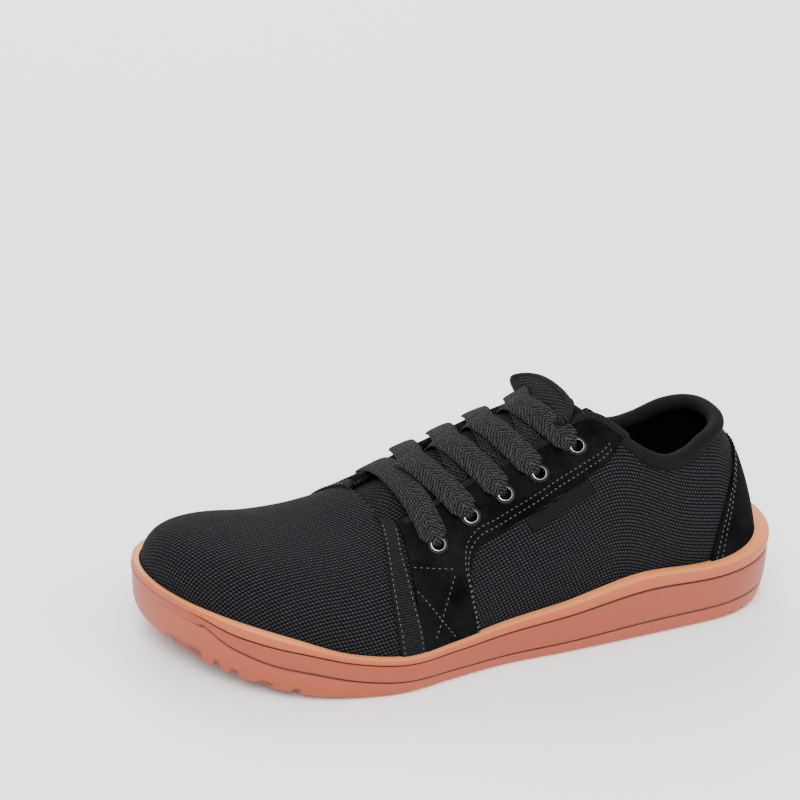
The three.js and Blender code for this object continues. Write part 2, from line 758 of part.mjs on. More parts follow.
// Eyelets: rolled rings whose barrels go through suede and knit.
const eyeletDepth = suedeThickness + upperWall + 2 * gap;
const eyeletProfile = [
  [eyeletBore, -eyeletDepth],
  [eyeletBarrel, -eyeletDepth],
  [eyeletBarrel, gap],
  [eyeletFlange, gap],
  [(eyeletBarrel + eyeletBore) / 2, gap + eyeletRoll],
  [eyeletBore, -eyeletDepth],
].map((p) => new THREE.Vector2(p[0], p[1]));
const eyeletRing = new THREE.LatheGeometry(eyeletProfile, roundSides).rotateX(Math.PI / 2);
eyeletPlaces.forEach((e, i) => {
  const name = (e.side > 0 ? 'eyelet_outer_' : 'eyelet_inner_') + ((i % eyeletRows.length) + 1);
  addPart(name, onLast(eyeletRing, e.turn, e.up, 2 * gap + suedeThickness), steel);
});

// Flat laces. Each strand starts over one eyestay, just clear of its eyelet, and runs straight
// across the tongue. The bar at the toe end reaches over both eyestays. The others stop where
// they dip under the far one.
function eyeletSpot(k, side) {
  const turn = THREE.MathUtils.degToRad(eyeletRows[k].turn);
  const across = (side * (1 - eyeletRows[k].up)) / (1 - tongueUp);
  return { x: lastAt(turn, eyeletRows[k].up, 0).x, across };
}

// Square to the surface under a strand.
function normalOn(x, across, offset) {
  const { along: run, across: step } = slopeStep;
  const along = onTongue(x + run, across, offset).sub(onTongue(x - run, across, offset));
  const over = onTongue(x, across + step, offset).sub(onTongue(x, across - step, offset));
  const out = along.cross(over).normalize();
  return out.z < 0 ? out.negate() : out;
}

function strand(from, to, isBar) {
  const at = (t) => ({
    x: from.x + (to.x - from.x) * t,
    across: from.across + (to.across - from.across) * t,
  });
  const reach = (spot) => onTongue(spot.x, spot.across, 0).distanceTo(onTongue(spot.x, 0, 0)) * 2;
  const start = (eyeletFlange + 2 * gap) / reach(from);
  const width = Math.abs(to.across - from.across);
  const dip = (Math.abs(from.across) + underTongue * tongueEdge) / width;
  const finish = isBar ? 1 - (eyeletFlange + 2 * gap) / reach(to) : dip;
  const high = Math.max(gap + suedeThickness, tongueLie + tongueBulge);
  const count = isBar ? barSteps : crossingSteps;
  const stations = [...Array(count + 1).keys()].map((i) => {
    const { x, across } = at(start + ((finish - start) * i) / count);
    const far = from.across * across < 0 && !isBar;
    const offset = far ? tongueLie + tongueLift(across) : high;
    const out = normalOn(x, across, offset);
    return { place: onTongue(x, across, offset).addScaledVector(out, laceGap + laceThickness / 2), out };
  });
  const sections = stations.map((station, k) => {
    const before = stations[Math.max(k - 1, 0)].place;
    const after = stations[Math.min(k + 1, count)].place;
    const along = after.clone().sub(before).normalize();
    const out = station.out.addScaledVector(along, -station.out.dot(along)).normalize();
    const wide = along.clone().cross(out).normalize();
    const corner = ([a, b]) => {
      const point = station.place.clone().addScaledVector(wide, (a * laceWidth) / 2);
      return point.addScaledVector(out, (b * laceThickness) / 2);
    };
    return [[1, 1], [-1, 1], [-1, -1], [1, -1]].map(corner);
  });
  return sweepSolid(sections);
}

const bar = strand(eyeletSpot(0, 1), eyeletSpot(0, -1), true);
for (let k = 1; k < eyeletRows.length; k += 1) {
  const fromOuter = strand(eyeletSpot(k, 1), eyeletSpot(k - 1, -1), false);
  const fromInner = strand(eyeletSpot(k, -1), eyeletSpot(k - 1, 1), false);
  const crossing = fromOuter.add(fromInner);
  addPart('lace_crossing_' + k, k === 1 ? crossing.add(bar) : crossing, lace);
}

// The origin is on the floor under the middle of the shoe.
const box = new THREE.Box3().setFromObject(shoe);
const middle = box.getCenter(new THREE.Vector3());
shoe.position.set(-middle.x, -middle.y, -box.min.z);

export default shoe;
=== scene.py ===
import math

import bmesh
import bpy
import numpy as np
from mathutils import Matrix, Vector


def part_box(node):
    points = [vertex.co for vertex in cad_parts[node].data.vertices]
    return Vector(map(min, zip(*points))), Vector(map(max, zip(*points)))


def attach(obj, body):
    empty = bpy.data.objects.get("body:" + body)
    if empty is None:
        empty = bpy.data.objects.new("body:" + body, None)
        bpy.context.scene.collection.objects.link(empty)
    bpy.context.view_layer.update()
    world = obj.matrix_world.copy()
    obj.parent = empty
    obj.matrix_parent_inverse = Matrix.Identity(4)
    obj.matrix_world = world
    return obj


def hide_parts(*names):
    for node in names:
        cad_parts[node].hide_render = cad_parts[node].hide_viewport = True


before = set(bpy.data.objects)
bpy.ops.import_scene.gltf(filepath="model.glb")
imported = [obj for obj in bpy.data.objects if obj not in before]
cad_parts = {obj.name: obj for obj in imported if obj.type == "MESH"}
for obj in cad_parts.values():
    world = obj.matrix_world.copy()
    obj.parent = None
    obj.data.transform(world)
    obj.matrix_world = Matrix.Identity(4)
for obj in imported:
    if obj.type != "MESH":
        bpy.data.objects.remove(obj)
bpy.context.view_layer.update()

# A black lace-up walking shoe for the left foot, knitted and suede, on a gum rubber cup sole.
# Shapes are worked out in the shoe's own frame: millimetres, x from the heel to the toe, y to the
# outer side, z up from the floor. makeObject moves them to where the frame has the shoe.
shoe = {
    "soleLength": 283.0, "ballWidth": 114.0, "instepHeight": 104.0, "heelHeight": 85.0,
    "lipHeight": 33.0, "floorThickness": 8.0, "toeSpring": 12.0, "heelBevel": 3.0,
    "heelCorner": 45.0, "toeCorner": 71.0, "heelMargin": 5.0, "toeMargin": 2.4,
    "heelSquareness": 2.4, "springShare": 0.84, "springFrom": 0.72, "treadSpringFrom": 0.7,
    "bevelEnd": 0.085, "fanRear": 0.155, "fanFront": 0.795, "gap": 0.3, "upperWall": 2.0,
    "throatUp": 0.785, "throatFront": 0.671,
}
# Outline of the sole from above, as shares of its length and of the ball's width
soleRows = {
    "along": [0.0, 0.16, 0.28, 0.417, 0.516, 0.604, 0.69, 0.77, 0.854, 0.94, 1.0],
    "middle": [0.055, 0.075, 0.077, 0.058, 0.034, 0.008, 0.004, -0.012, -0.043, -0.112, -0.175],
    "half": [0.345, 0.347, 0.357, 0.382, 0.406, 0.458, 0.494, 0.49, 0.492, 0.5, 0.5],
    "lip": [0.98, 0.87, 0.92, 0.73, 0.62, 0.54, 0.52, 0.62, 0.82, 0.95, 1.0],
}
# Sections of the last: the ridge's height, where it runs, and how square a section is
lastRows = {
    "along": [0.0, 0.2, 0.345, 0.38, 0.417, 0.46, 0.55, 0.66, 0.76, 0.86, 0.94, 1.0],
    "ridge": [0.885, 0.913, 0.995, 0.947, 0.875, 0.827, 0.716, 0.572, 0.495, 0.5, 0.548, 0.625],
    "spine": [0.06, 0.05, 0.004, -0.005, -0.015, -0.025, -0.04, -0.052, -0.07, -0.09, -0.11, -0.12],
    "fullness": [1.5, 2.0, 2.1, 2.2, 2.4, 2.5, 2.35, 2.2, 2.3, 2.45, 2.8, 3.1],
}
# Top of the collar seen from the side
collarRows = {
    "along": [-0.1, 0.115, 0.16, 0.2, 0.232, 0.262, 0.29, 0.32, 0.346, 0.38],
    "outer": [1.02, 1.0, 0.965, 0.915, 0.905, 0.94, 0.998, 1.075, 1.135, 1.16],
    "inner": [1.02, 1.0, 0.95, 0.872, 0.845, 0.875, 0.935, 1.02, 1.1, 1.14],
}


def readRows(rows, name, along):
    # Smooth curve through the rows of a table: cubic pieces, whose slope at a row is the mean of
    # the slopes on both sides, each weighted by the length of the other side
    places, values = np.array(rows["along"]), np.array(rows[name])
    at = np.clip(along, places[0], places[-1])
    step = np.diff(places)
    slope = np.diff(values) / step
    inner = (slope[:-1] * step[1:] + slope[1:] * step[:-1]) / (step[1:] + step[:-1])
    tangent = np.concatenate([slope[:1], inner, slope[-1:]])
    k = np.clip(np.searchsorted(places, at, side="right") - 1, 0, len(places) - 2)
    t = (at - places[k]) / step[k]
    rise = values[k + 1] - values[k]
    a = step[k] * tangent[k] - rise
    b = rise - step[k] * tangent[k + 1]
    return values[k] + t * rise + t * (1 - t) * (a * (1 - t) + b * t)


def blendStep(low, high, value):
    # 0 below low, 1 above high, and the smooth cubic 3t2 - 2t3 between them
    t = np.clip((value - low) / (high - low), 0, 1)
    return t * t * (3 - 2 * t)


def springAt(x):
    # The last's feather edge rises with the square of the way from springFrom to the toe
    t = np.maximum((x / shoe["soleLength"] - shoe["springFrom"]) / (1 - shoe["springFrom"]), 0)
    return shoe["toeSpring"] * shoe["springShare"] * t * t


def treadAt(x):
    # Flat from the heel's bevel to the ball, and sprung as a parabola at the toe
    from_ = shoe["treadSpringFrom"]
    toe = np.maximum((x / shoe["soleLength"] - from_) / (1 - from_), 0)
    heel = np.maximum(1 - x / (shoe["soleLength"] * shoe["bevelEnd"]), 0)
    return shoe["toeSpring"] * toe * toe + shoe["heelBevel"] * heel * heel


def outlineAt(turn, heelIn, toeIn):
    # Outline from above: x runs as a cosine of the turn, y is the half width of the table with
    # the heel rounded as a superellipse and the toe as a circle, all moved in by a margin
    length = shoe["soleLength"]
    share = (1 - np.cos(turn)) / 2
    x = heelIn + (length - heelIn - toeIn) * share
    back = np.clip(1 - (x - heelIn) / (shoe["heelCorner"] - heelIn), 0, 1)
    front = np.clip((x - length + shoe["toeCorner"]) / (shoe["toeCorner"] - toeIn), 0, 1)
    heelRound = (1 - back ** shoe["heelSquareness"]) ** (1 / shoe["heelSquareness"])
    rounding = heelRound * np.sqrt(np.maximum(1 - front * front, 0))
    inset = heelIn + (toeIn - heelIn) * share
    half = shoe["ballWidth"] * readRows(soleRows, "half", x / length) - inset
    side = np.sign(np.round(np.sin(turn) * 1e6))
    return x, shoe["ballWidth"] * readRows(soleRows, "middle", x / length) + side * half * rounding


def lastAt(turn, up, offset=0.0):
    # A section of the last is a superellipse quarter from the outline up to the ridge. Past the
    # fan's centres the sections turn like a fan round the heel and the toe.
    length = shoe["soleLength"]
    turn, up = np.broadcast_arrays(turn, np.clip(up, 0, 1))
    edgeX, edgeY = outlineAt(turn, shoe["heelMargin"] - offset, shoe["toeMargin"] - offset)
    centre = np.clip(edgeX, shoe["fanRear"] * length, shoe["fanFront"] * length)
    spine = shoe["ballWidth"] * readRows(lastRows, "spine", centre / length)
    power = 2 / readRows(lastRows, "fullness", edgeX / length)
    out = np.maximum(np.cos(up * math.pi / 2), 0) ** power
    rise = np.sin(up * math.pi / 2) ** power
    x = centre + (edgeX - centre) * out
    ridge = shoe["instepHeight"] * readRows(lastRows, "ridge", x / length) + offset
    base = shoe["floorThickness"]
    z = base + (ridge - base) * rise + springAt(x) * (1 - rise)
    return np.stack([x, spine + (edgeY - spine) * out, z], -1)


def unit(vectors):
    return vectors / np.maximum(np.linalg.norm(vectors, axis=-1, keepdims=True), 1e-9)


def outwardAt(turn, up, step=0.012):
    # Square to the last: the cross product of the steps round and up the surface
    across = lastAt(turn + step, up) - lastAt(turn - step, up)
    rise = lastAt(turn, up + step) - lastAt(turn, up - step)
    out = unit(np.cross(across, rise))
    away = lastAt(turn, up, 1.0) - lastAt(turn, up)
    return out * np.where(np.sum(out * away, -1, keepdims=True) < 0, -1, 1)


def onLast(turn, up, height):
    # The last's point moved along its own normal
    return lastAt(turn, up) + outwardAt(turn, up) * np.asarray(height)[..., None]


def sidePlace(x, z, side):
    # The turn and up of the last's point that is seen at x and z from the side: the height gives
    # the share of the section's rise, and the fan round the heel is undone in a few steps
    length = shoe["soleLength"]
    heelIn, toeIn = shoe["heelMargin"], shoe["toeMargin"]
    x, z = np.broadcast_arrays(np.asarray(x, float), np.asarray(z, float))
    ridge = shoe["instepHeight"] * readRows(lastRows, "ridge", x / length)
    base = shoe["floorThickness"] + springAt(x)
    rise = np.clip((z - base) / (ridge - base), 0, 0.9999)
    edgeX = x
    for _ in range(14):
        power = 2 / readRows(lastRows, "fullness", edgeX / length)
        up = np.arcsin(rise ** (1 / power)) * 2 / math.pi
        centre = np.clip(edgeX, shoe["fanRear"] * length, shoe["fanFront"] * length)
        out = np.cos(up * math.pi / 2) ** power
        edgeX = np.clip(centre + (x - centre) / np.maximum(out, 0.05), heelIn, length - toeIn)
    share = (edgeX - heelIn) / (length - heelIn - toeIn)
    return side * np.arccos(1 - 2 * share), up


def upAtHeight(turn, height, offset=0.0):
    # Halving search up the section for the place where height(x, z) turns positive
    low = np.zeros(np.shape(turn))
    high = np.ones(np.shape(turn))
    for _ in range(26):
        middle = (low + high) / 2
        point = lastAt(turn, middle, offset)
        above = height(point[..., 0], point[..., 2]) > 0
        low, high = np.where(above, low, middle), np.where(above, middle, high)
    return low


# The origin of the shoe's own frame, from the outsole's box in the frame
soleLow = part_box("outsole")[0]
ringTurns = np.arange(44) * math.pi / 22
originY = soleLow[1] * 1000 - outlineAt(ringTurns, 0, 0)[1].min()
origin = np.array([soleLow[0] * 1000, originY, soleLow[2] * 1000])


def gridFaces(rows, columns, roundRows=False, roundColumns=False):
    # Quads between neighbouring rows and columns of a grid of points
    r = np.arange(rows if roundRows else rows - 1)
    c = np.arange(columns if roundColumns else columns - 1)
    r, c = [part.ravel() for part in np.meshgrid(r, c, indexing="ij")]
    nextR, nextC = (r + 1) % rows, (c + 1) % columns
    corners = [r * columns + c, r * columns + nextC, nextR * columns + nextC, nextR * columns + c]
    return np.stack(corners, -1)


def slabFaces(rows, columns):
    # An upper grid, a lower grid after it, and a strip round their rims
    top = gridFaces(rows, columns)
    index = np.arange(rows * columns).reshape(rows, columns)
    rim = np.concatenate([index[0, :-1], index[:-1, -1], index[-1, :0:-1], index[:0:-1, 0]])
    ahead = np.roll(rim, -1)
    under = rows * columns
    strip = np.stack([ahead, rim, rim + under, ahead + under], -1)
    return np.concatenate([top, top[:, ::-1] + under, strip])


def gridUv(points):
    # Distances along the rows and along the columns of a grid, in metres
    alongRows = np.linalg.norm(np.diff(points, axis=0), axis=-1)
    alongColumns = np.linalg.norm(np.diff(points, axis=1), axis=-1)
    u = np.concatenate([np.zeros((1, points.shape[1])), np.cumsum(alongRows, 0)])
    v = np.concatenate([np.zeros((points.shape[0], 1)), np.cumsum(alongColumns, 1)], 1)
    return np.stack([u, v], -1) / 1000


def makeObject(name, points, faces, material, slot, nodes=(), uv=None, merge=0.0, caps=(),
               sharp=50, **attributes):
    # Puts points in millimetres and faces into a mesh at the frame's place. Faces are turned
    # round together where the volume that they enclose comes out negative.
    points = np.asarray(points, float).reshape(-1, 3)
    faces = np.asarray(faces)
    a, b, c, d = [points[faces[:, k]] for k in range(4)]
    volume = np.sum(np.cross(a, b) * c) + np.sum(np.cross(a, c) * d)
    if volume < 0:
        faces = faces[:, ::-1]
        caps = [cap[::-1] for cap in caps]
    mesh = bpy.data.meshes.new(name)
    mesh.from_pydata(((points + origin) / 1000).tolist(), [], faces.tolist() + list(caps))
    mesh.polygons.foreach_set("use_smooth", np.ones(len(mesh.polygons), bool))
    for key, values in attributes.items():
        layer = mesh.attributes.new(key, "FLOAT", "POINT")
        layer.data.foreach_set("value", np.asarray(values, np.float32).ravel())
    if uv is not None:
        corner = np.zeros(len(mesh.loops), np.int32)
        mesh.loops.foreach_get("vertex_index", corner)
        layer = mesh.uv_layers.new(name="UVMap")
        layer.data.foreach_set("uv", np.asarray(uv, np.float32).reshape(-1, 2)[corner].ravel())
    if merge:
        weld(mesh, merge)
    mesh.set_sharp_from_angle(angle=math.radians(sharp))
    mesh.materials.append(material)
    item = bpy.data.objects.new(name, mesh)
    bpy.context.scene.collection.objects.link(item)
    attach(item, "root")
    if nodes:
        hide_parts(*nodes)
    return item


def weld(mesh, distance):
    # Joins points closer than the distance, in millimetres, and drops faces that lose their area
    work = bmesh.new()
    work.from_mesh(mesh)
    bmesh.ops.remove_doubles(work, verts=work.verts, dist=distance / 1000)
    bmesh.ops.dissolve_degenerate(work, dist=distance / 2000, edges=work.edges)
    work.to_mesh(mesh)
    work.free()


def applyModifiers(item):
    # Keeps the mesh as its modifiers leave it, and takes the modifiers off
    view = bpy.context.evaluated_depsgraph_get()
    mesh = bpy.data.meshes.new_from_object(item.evaluated_get(view), depsgraph=view)
    item.modifiers.clear()
    item.data = mesh


# Materials

def linear(hexColor):
    # sRGB hex to linear: the upper part of the curve is ((c + 0.055) / 1.055) to the power 2.4
    parts = [int(hexColor[i:i + 2], 16) / 255 for i in (1, 3, 5)]
    return [c / 12.92 if c <= 0.04045 else ((c + 0.055) / 1.055) ** 2.4 for c in parts] + [1.0]


def addNode(tree, kind, inputs=(), **settings):
    # Adds a node, sets its settings, and gives each input a value or a link
    node = tree.nodes.new(kind)
    for key, value in settings.items():
        setattr(node, key, value)
    for key, value in dict(inputs).items():
        if isinstance(value, bpy.types.NodeSocket):
            tree.links.new(value, node.inputs[key])
        else:
            node.inputs[key].default_value = value
    return node


def newMaterial(name, **inputs):
    # A principled shader whose constants sit on its own sockets
    material = bpy.data.materials.new(name)
    material.use_nodes = True
    tree = material.node_tree
    tree.nodes.clear()
    shader = addNode(tree, "ShaderNodeBsdfPrincipled", inputs={
        key.replace("_", " "): value for key, value in inputs.items()})
    addNode(tree, "ShaderNodeOutputMaterial", inputs={"Surface": shader.outputs["BSDF"]})
    return material, tree, shader


def makeKnit(name, look):
    # Double-layer polyester knit: light slanted stitches in rows, with a dark furrow between the
    # rows. It reads matt and grainy.
    material, tree, shader = newMaterial(name, Roughness=0.9, Specular_IOR_Level=0.08)
    place = addNode(tree, "ShaderNodeUVMap", uv_map="UVMap")
    split = addNode(tree, "ShaderNodeSeparateXYZ", {0: place.outputs[0]})
    wander = addNode(tree, "ShaderNodeTexNoise", {"Vector": place.outputs[0], "Scale": 260.0,
                                                  "Detail": 2.0})
    row = addNode(tree, "ShaderNodeMath", {0: split.outputs[1], 1: look["rowPitch"] / 1000},
                  operation="DIVIDE")
    rowIndex = addNode(tree, "ShaderNodeMath", {0: row.outputs[0]}, operation="FLOOR")
    rowPart = addNode(tree, "ShaderNodeMath", {0: row.outputs[0]}, operation="FRACT")
    along = addNode(tree, "ShaderNodeMath", {0: split.outputs[0], 1: look["dashPitch"] / 1000},
                    operation="DIVIDE")
    shifted = addNode(tree, "ShaderNodeMath", {0: rowIndex.outputs[0], 1: look["rowShift"],
                                               2: along.outputs[0]}, operation="MULTIPLY_ADD")
    slanted = addNode(tree, "ShaderNodeMath", {0: rowPart.outputs[0], 1: look["slant"],
                                               2: shifted.outputs[0]}, operation="MULTIPLY_ADD")
    wavy = addNode(tree, "ShaderNodeMath", {0: wander.outputs[0], 1: 0.5, 2: slanted.outputs[0]},
                   operation="MULTIPLY_ADD")
    dashPart = addNode(tree, "ShaderNodeMath", {0: wavy.outputs[0]}, operation="FRACT")
    masks = []
    for part, width in ((rowPart, look["dashThick"]), (dashPart, look["dashLong"])):
        centred = addNode(tree, "ShaderNodeMath", {0: part.outputs[0], 1: 0.5}, operation="SUBTRACT")
        far = addNode(tree, "ShaderNodeMath", {0: centred.outputs[0]}, operation="ABSOLUTE")
        masks.append(addNode(tree, "ShaderNodeMapRange", {
            0: far.outputs[0], 1: width / 2 - 0.1, 2: width / 2 + 0.08, 3: 1.0, 4: 0.0},
            interpolation_type="SMOOTHSTEP"))
    mask = addNode(tree, "ShaderNodeMath", {0: masks[0].outputs[0], 1: masks[1].outputs[0]},
                   operation="MULTIPLY")
    patchy = addNode(tree, "ShaderNodeTexNoise", {"Vector": place.outputs[0], "Scale": 900.0})
    weight = addNode(tree, "ShaderNodeMapRange", {0: patchy.outputs[0], 1: 0.3, 2: 0.7, 3: 0.45, 4: 1.0})
    amount = addNode(tree, "ShaderNodeMath", {0: mask.outputs[0], 1: weight.outputs[0]},
                     operation="MULTIPLY")
    color = addNode(tree, "ShaderNodeMix", {"Factor": amount.outputs[0], 6: linear(look["ground"]),
                                            7: linear(look["dash"])}, data_type="RGBA")
    tree.links.new(color.outputs[2], shader.inputs["Base Color"])
    bump = addNode(tree, "ShaderNodeBump", {"Height": mask.outputs[0], "Strength": 0.7,
                                            "Distance": 0.00035})
    tree.links.new(bump.outputs[0], shader.inputs["Normal"])
    return material


def makeSuede(name, look):
    # Split cowhide, buffed to a short nap: almost no gloss, with soft dark and light patches where
    # the nap lies one way or the other
    material, tree, shader = newMaterial(name, Roughness=0.95, Specular_IOR_Level=0.03)
    place = addNode(tree, "ShaderNodeTexCoord")
    patches = addNode(tree, "ShaderNodeTexNoise", {"Vector": place.outputs["Object"],
                                                   "Scale": 70.0, "Detail": 3.0})
    nap = addNode(tree, "ShaderNodeTexNoise", {"Vector": place.outputs["Object"],
                                               "Scale": 1400.0, "Detail": 3.0, "Roughness": 0.7})
    both = addNode(tree, "ShaderNodeMath", {0: patches.outputs[0], 1: nap.outputs[0]},
                   operation="MULTIPLY")
    tone = addNode(tree, "ShaderNodeMapRange", {0: both.outputs[0], 1: 0.12, 2: 0.42})
    color = addNode(tree, "ShaderNodeMix", {"Factor": tone.outputs[0], 6: linear(look["dark"]),
                                            7: linear(look["light"])}, data_type="RGBA")
    tree.links.new(color.outputs[2], shader.inputs["Base Color"])
    bump = addNode(tree, "ShaderNodeBump", {"Height": nap.outputs[0], "Strength": 0.5,
                                            "Distance": 0.0003})
    tree.links.new(bump.outputs[0], shader.inputs["Normal"])
    return material


def makeRibbed(name, look):
    # Woven ribbon of spun yarn: ribs across its length, each rib broken into short floats by the
    # warp. The colour follows the rib height as painted light and shade, lighter on the tops and
    # darker in the furrows, plus a random yarn tone
    material, tree, shader = newMaterial(name, Roughness=0.88, Specular_IOR_Level=0.08)
    place = addNode(tree, "ShaderNodeUVMap", uv_map="UVMap")
    split = addNode(tree, "ShaderNodeSeparateXYZ", {0: place.outputs[0]})
    centred = addNode(tree, "ShaderNodeMath", {0: split.outputs[1]}, operation="ABSOLUTE")
    straight = addNode(tree, "ShaderNodeMath", {0: centred.outputs[0], 1: look["lean"],
                                                2: split.outputs[0]}, operation="MULTIPLY_ADD")
    yarn = addNode(tree, "ShaderNodeTexNoise", {"Vector": place.outputs[0], "Scale": 650.0,
                                                "Detail": 2.0})
    lean = addNode(tree, "ShaderNodeMath", {0: yarn.outputs[0], 1: look["wander"] / 1000,
                                            2: straight.outputs[0]}, operation="MULTIPLY_ADD")
    waves = []
    for source, pitch in ((lean, look["ribPitch"]), (split, look["yarnPitch"])):
        socket = source.outputs[0] if source is lean else source.outputs[1]
        angle = addNode(tree, "ShaderNodeMath", {0: socket, 1: 2000 * math.pi / pitch},
                        operation="MULTIPLY")
        waves.append(addNode(tree, "ShaderNodeMath", {0: angle.outputs[0]}, operation="SINE"))
    height = addNode(tree, "ShaderNodeMath", {0: waves[1].outputs[0], 1: look["yarnShare"],
                                              2: waves[0].outputs[0]}, operation="MULTIPLY_ADD")
    # painted shade in the furrows and painted highlight on the rib tops: the tone adds the rib height to
    # the yarn noise
    ribShadeAndYarnTone = addNode(tree, "ShaderNodeMath", {0: yarn.outputs[0], 1: 1.6, 2: height.outputs[0]},
                  operation="MULTIPLY_ADD")
    tone = addNode(tree, "ShaderNodeMapRange", {0: ribShadeAndYarnTone.outputs[0], 1: -0.2, 2: 2.2})
    color = addNode(tree, "ShaderNodeMix", {"Factor": tone.outputs[0], 6: linear(look["dark"]),
                                            7: linear(look["light"])}, data_type="RGBA")
    tree.links.new(color.outputs[2], shader.inputs["Base Color"])
    bump = addNode(tree, "ShaderNodeBump", {"Height": height.outputs[0], "Strength": 0.6,
                                            "Distance": look["depth"] / 1000})
    tree.links.new(bump.outputs[0], shader.inputs["Normal"])
    return material


def makeLining(name, look):
    # Brushed polyester lining over foam: smooth and matt with a very fine grain
    material, tree, shader = newMaterial(name, Roughness=0.8, Specular_IOR_Level=0.08)
    place = addNode(tree, "ShaderNodeTexCoord")
    grain = addNode(tree, "ShaderNodeTexNoise", {"Vector": place.outputs["Object"],
                                                 "Scale": 1800.0, "Detail": 2.0})
    color = addNode(tree, "ShaderNodeMix", {"Factor": grain.outputs[0], 6: linear(look["dark"]),
                                            7: linear(look["light"])}, data_type="RGBA")
    tree.links.new(color.outputs[2], shader.inputs["Base Color"])
    bump = addNode(tree, "ShaderNodeBump", {"Height": grain.outputs[0], "Strength": 0.35,
                                            "Distance": 0.0002})
    tree.links.new(bump.outputs[0], shader.inputs["Normal"])
    return material


def makeRubber(name, look):
    # Gum rubber, moulded: warm tan-orange, satin, with a lighter lip band and a faint mould grain.
    # Its colour also holds painted shade in the side grooves, the tread's recess and the lugs'
    # engravings, and a painted highlight along the lip's top edge
    material, tree, shader = newMaterial(name, Roughness=0.5, Subsurface_Weight=0.06,
                                         Subsurface_Scale=0.004)
    shader.inputs["Subsurface Radius"].default_value = (1.0, 0.45, 0.25)
    level = addNode(tree, "ShaderNodeAttribute", attribute_name="level")
    recess = addNode(tree, "ShaderNodeAttribute", attribute_name="recess")
    bands = addNode(tree, "ShaderNodeValToRGB", {"Fac": level.outputs["Fac"]})
    ramp = bands.color_ramp
    ramp.elements[0].position, ramp.elements[1].position = 0.0, 1.0
    for place, _ in look["bands"][1:-1]:
        ramp.elements.new(place)
    for element, (place, color) in zip(ramp.elements, look["bands"]):
        element.position = place
        element.color = linear(color)
    place = addNode(tree, "ShaderNodeTexCoord")
    cloud = addNode(tree, "ShaderNodeTexNoise", {"Vector": place.outputs["Object"], "Scale": 45.0})
    shade = addNode(tree, "ShaderNodeMapRange", {0: cloud.outputs[0], 1: 0.3, 2: 0.7, 3: 0.0, 4: 0.12})
    worn = addNode(tree, "ShaderNodeMix", {"Factor": shade.outputs[0], 6: bands.outputs[0],
                                           7: linear(look["cloud"])}, data_type="RGBA")
    # painted shade: the recess attribute mixes in the dark recess colour in the tread's recess, the wavy
    # grooves and the lugs' engravings and feet
    paintedRecessShade = addNode(tree, "ShaderNodeMix", {"Factor": recess.outputs["Fac"], 6: worn.outputs[2],
                                           7: linear(look["recess"])}, data_type="RGBA")
    tree.links.new(paintedRecessShade.outputs[2], shader.inputs["Base Color"])
    grain = addNode(tree, "ShaderNodeTexNoise", {"Vector": place.outputs["Object"],
                                                 "Scale": 1100.0, "Detail": 2.0})
    bump = addNode(tree, "ShaderNodeBump", {"Height": grain.outputs[0], "Strength": 0.18,
                                            "Distance": 0.0002})
    tree.links.new(bump.outputs[0], shader.inputs["Normal"])
    return material


def makeSteel(name, look):
    # Plated steel eyelet, stamped and polished: bright rim, slightly dulled by handling
    material, tree, shader = newMaterial(name, Metallic=1.0, Base_Color=linear(look["color"]))
    place = addNode(tree, "ShaderNodeTexCoord")
    rub = addNode(tree, "ShaderNodeTexNoise", {"Vector": place.outputs["Object"], "Scale": 900.0})
    rough = addNode(tree, "ShaderNodeMapRange", {0: rub.outputs[0], 3: 0.16, 4: 0.36})
    tree.links.new(rough.outputs[0], shader.inputs["Roughness"])
    return material


def makeThread(name, look):
    # Bonded polyester thread, twisted: slightly glossy, light grey
    material, tree, shader = newMaterial(name, Roughness=0.6)
    place = addNode(tree, "ShaderNodeTexCoord")
    tone = addNode(tree, "ShaderNodeTexNoise", {"Vector": place.outputs["Object"], "Scale": 300.0})
    color = addNode(tree, "ShaderNodeMix", {"Factor": tone.outputs[0], 6: linear(look["dark"]),
                                            7: linear(look["light"])}, data_type="RGBA")
    tree.links.new(color.outputs[2], shader.inputs["Base Color"])
    return material


knitLook = {"rowPitch": 1.5, "dashPitch": 1.5, "rowShift": 0.42, "slant": 0.7, "dashThick": 0.6,
            "dashLong": 0.66, "ground": "#030304", "dash": "#343438"}
# painted light and shade in the bands: the near-black stops at 0.29 to 0.31 and 0.782 to 0.798 are painted
# shade in the two side grooves, the pale stop at 1.0 is a painted highlight on the lip's top edge, and the
# recess colour is painted shade for the tread's recess
rubberLook = {"cloud": "#883a1c", "recess": "#4c1208", "bands": [
    (0.0, "#96401f"), (0.275, "#984224"), (0.29, "#3c0e04"), (0.31, "#3c0e04"), (0.325, "#8f3c20"),
    (0.77, "#8d3a1f"), (0.782, "#200501"), (0.798, "#200501"), (0.81, "#a54c22"), (0.965, "#a85024"),
    (1.0, "#c8763f")]}
knit = makeKnit("knitMesh", knitLook)
suede = makeSuede("napSuede", {"dark": "#030304", "light": "#161618"})
ribbon = makeRibbed("grosgrainTape", {"ribPitch": 1.1, "yarnPitch": 0.9, "yarnShare": 0.25, "wander": 0.5,
                                      "lean": 0.0, "dark": "#040405", "light": "#242427", "depth": 0.3})
laceCloth = makeRibbed("wovenLace", {"ribPitch": 1.7, "yarnPitch": 1.2, "yarnShare": 0.5, "wander": 2.6,
                                     "lean": 0.9, "dark": "#040405", "light": "#373638", "depth": 0.4})
labelCloth = makeRibbed("damaskLabel", {"ribPitch": 0.7, "yarnPitch": 0.7, "yarnShare": 0.8, "wander": 0.0,
                                        "lean": 0.0, "dark": "#060607", "light": "#1b1b1d",
                                        "depth": 0.12})
lining = makeLining("brushedLining", {"dark": "#08080a", "light": "#121214"})
foamCloth = makeLining("insoleCloth", {"dark": "#09090a", "light": "#161618"})
rubber = makeRubber("gumRubber", rubberLook)
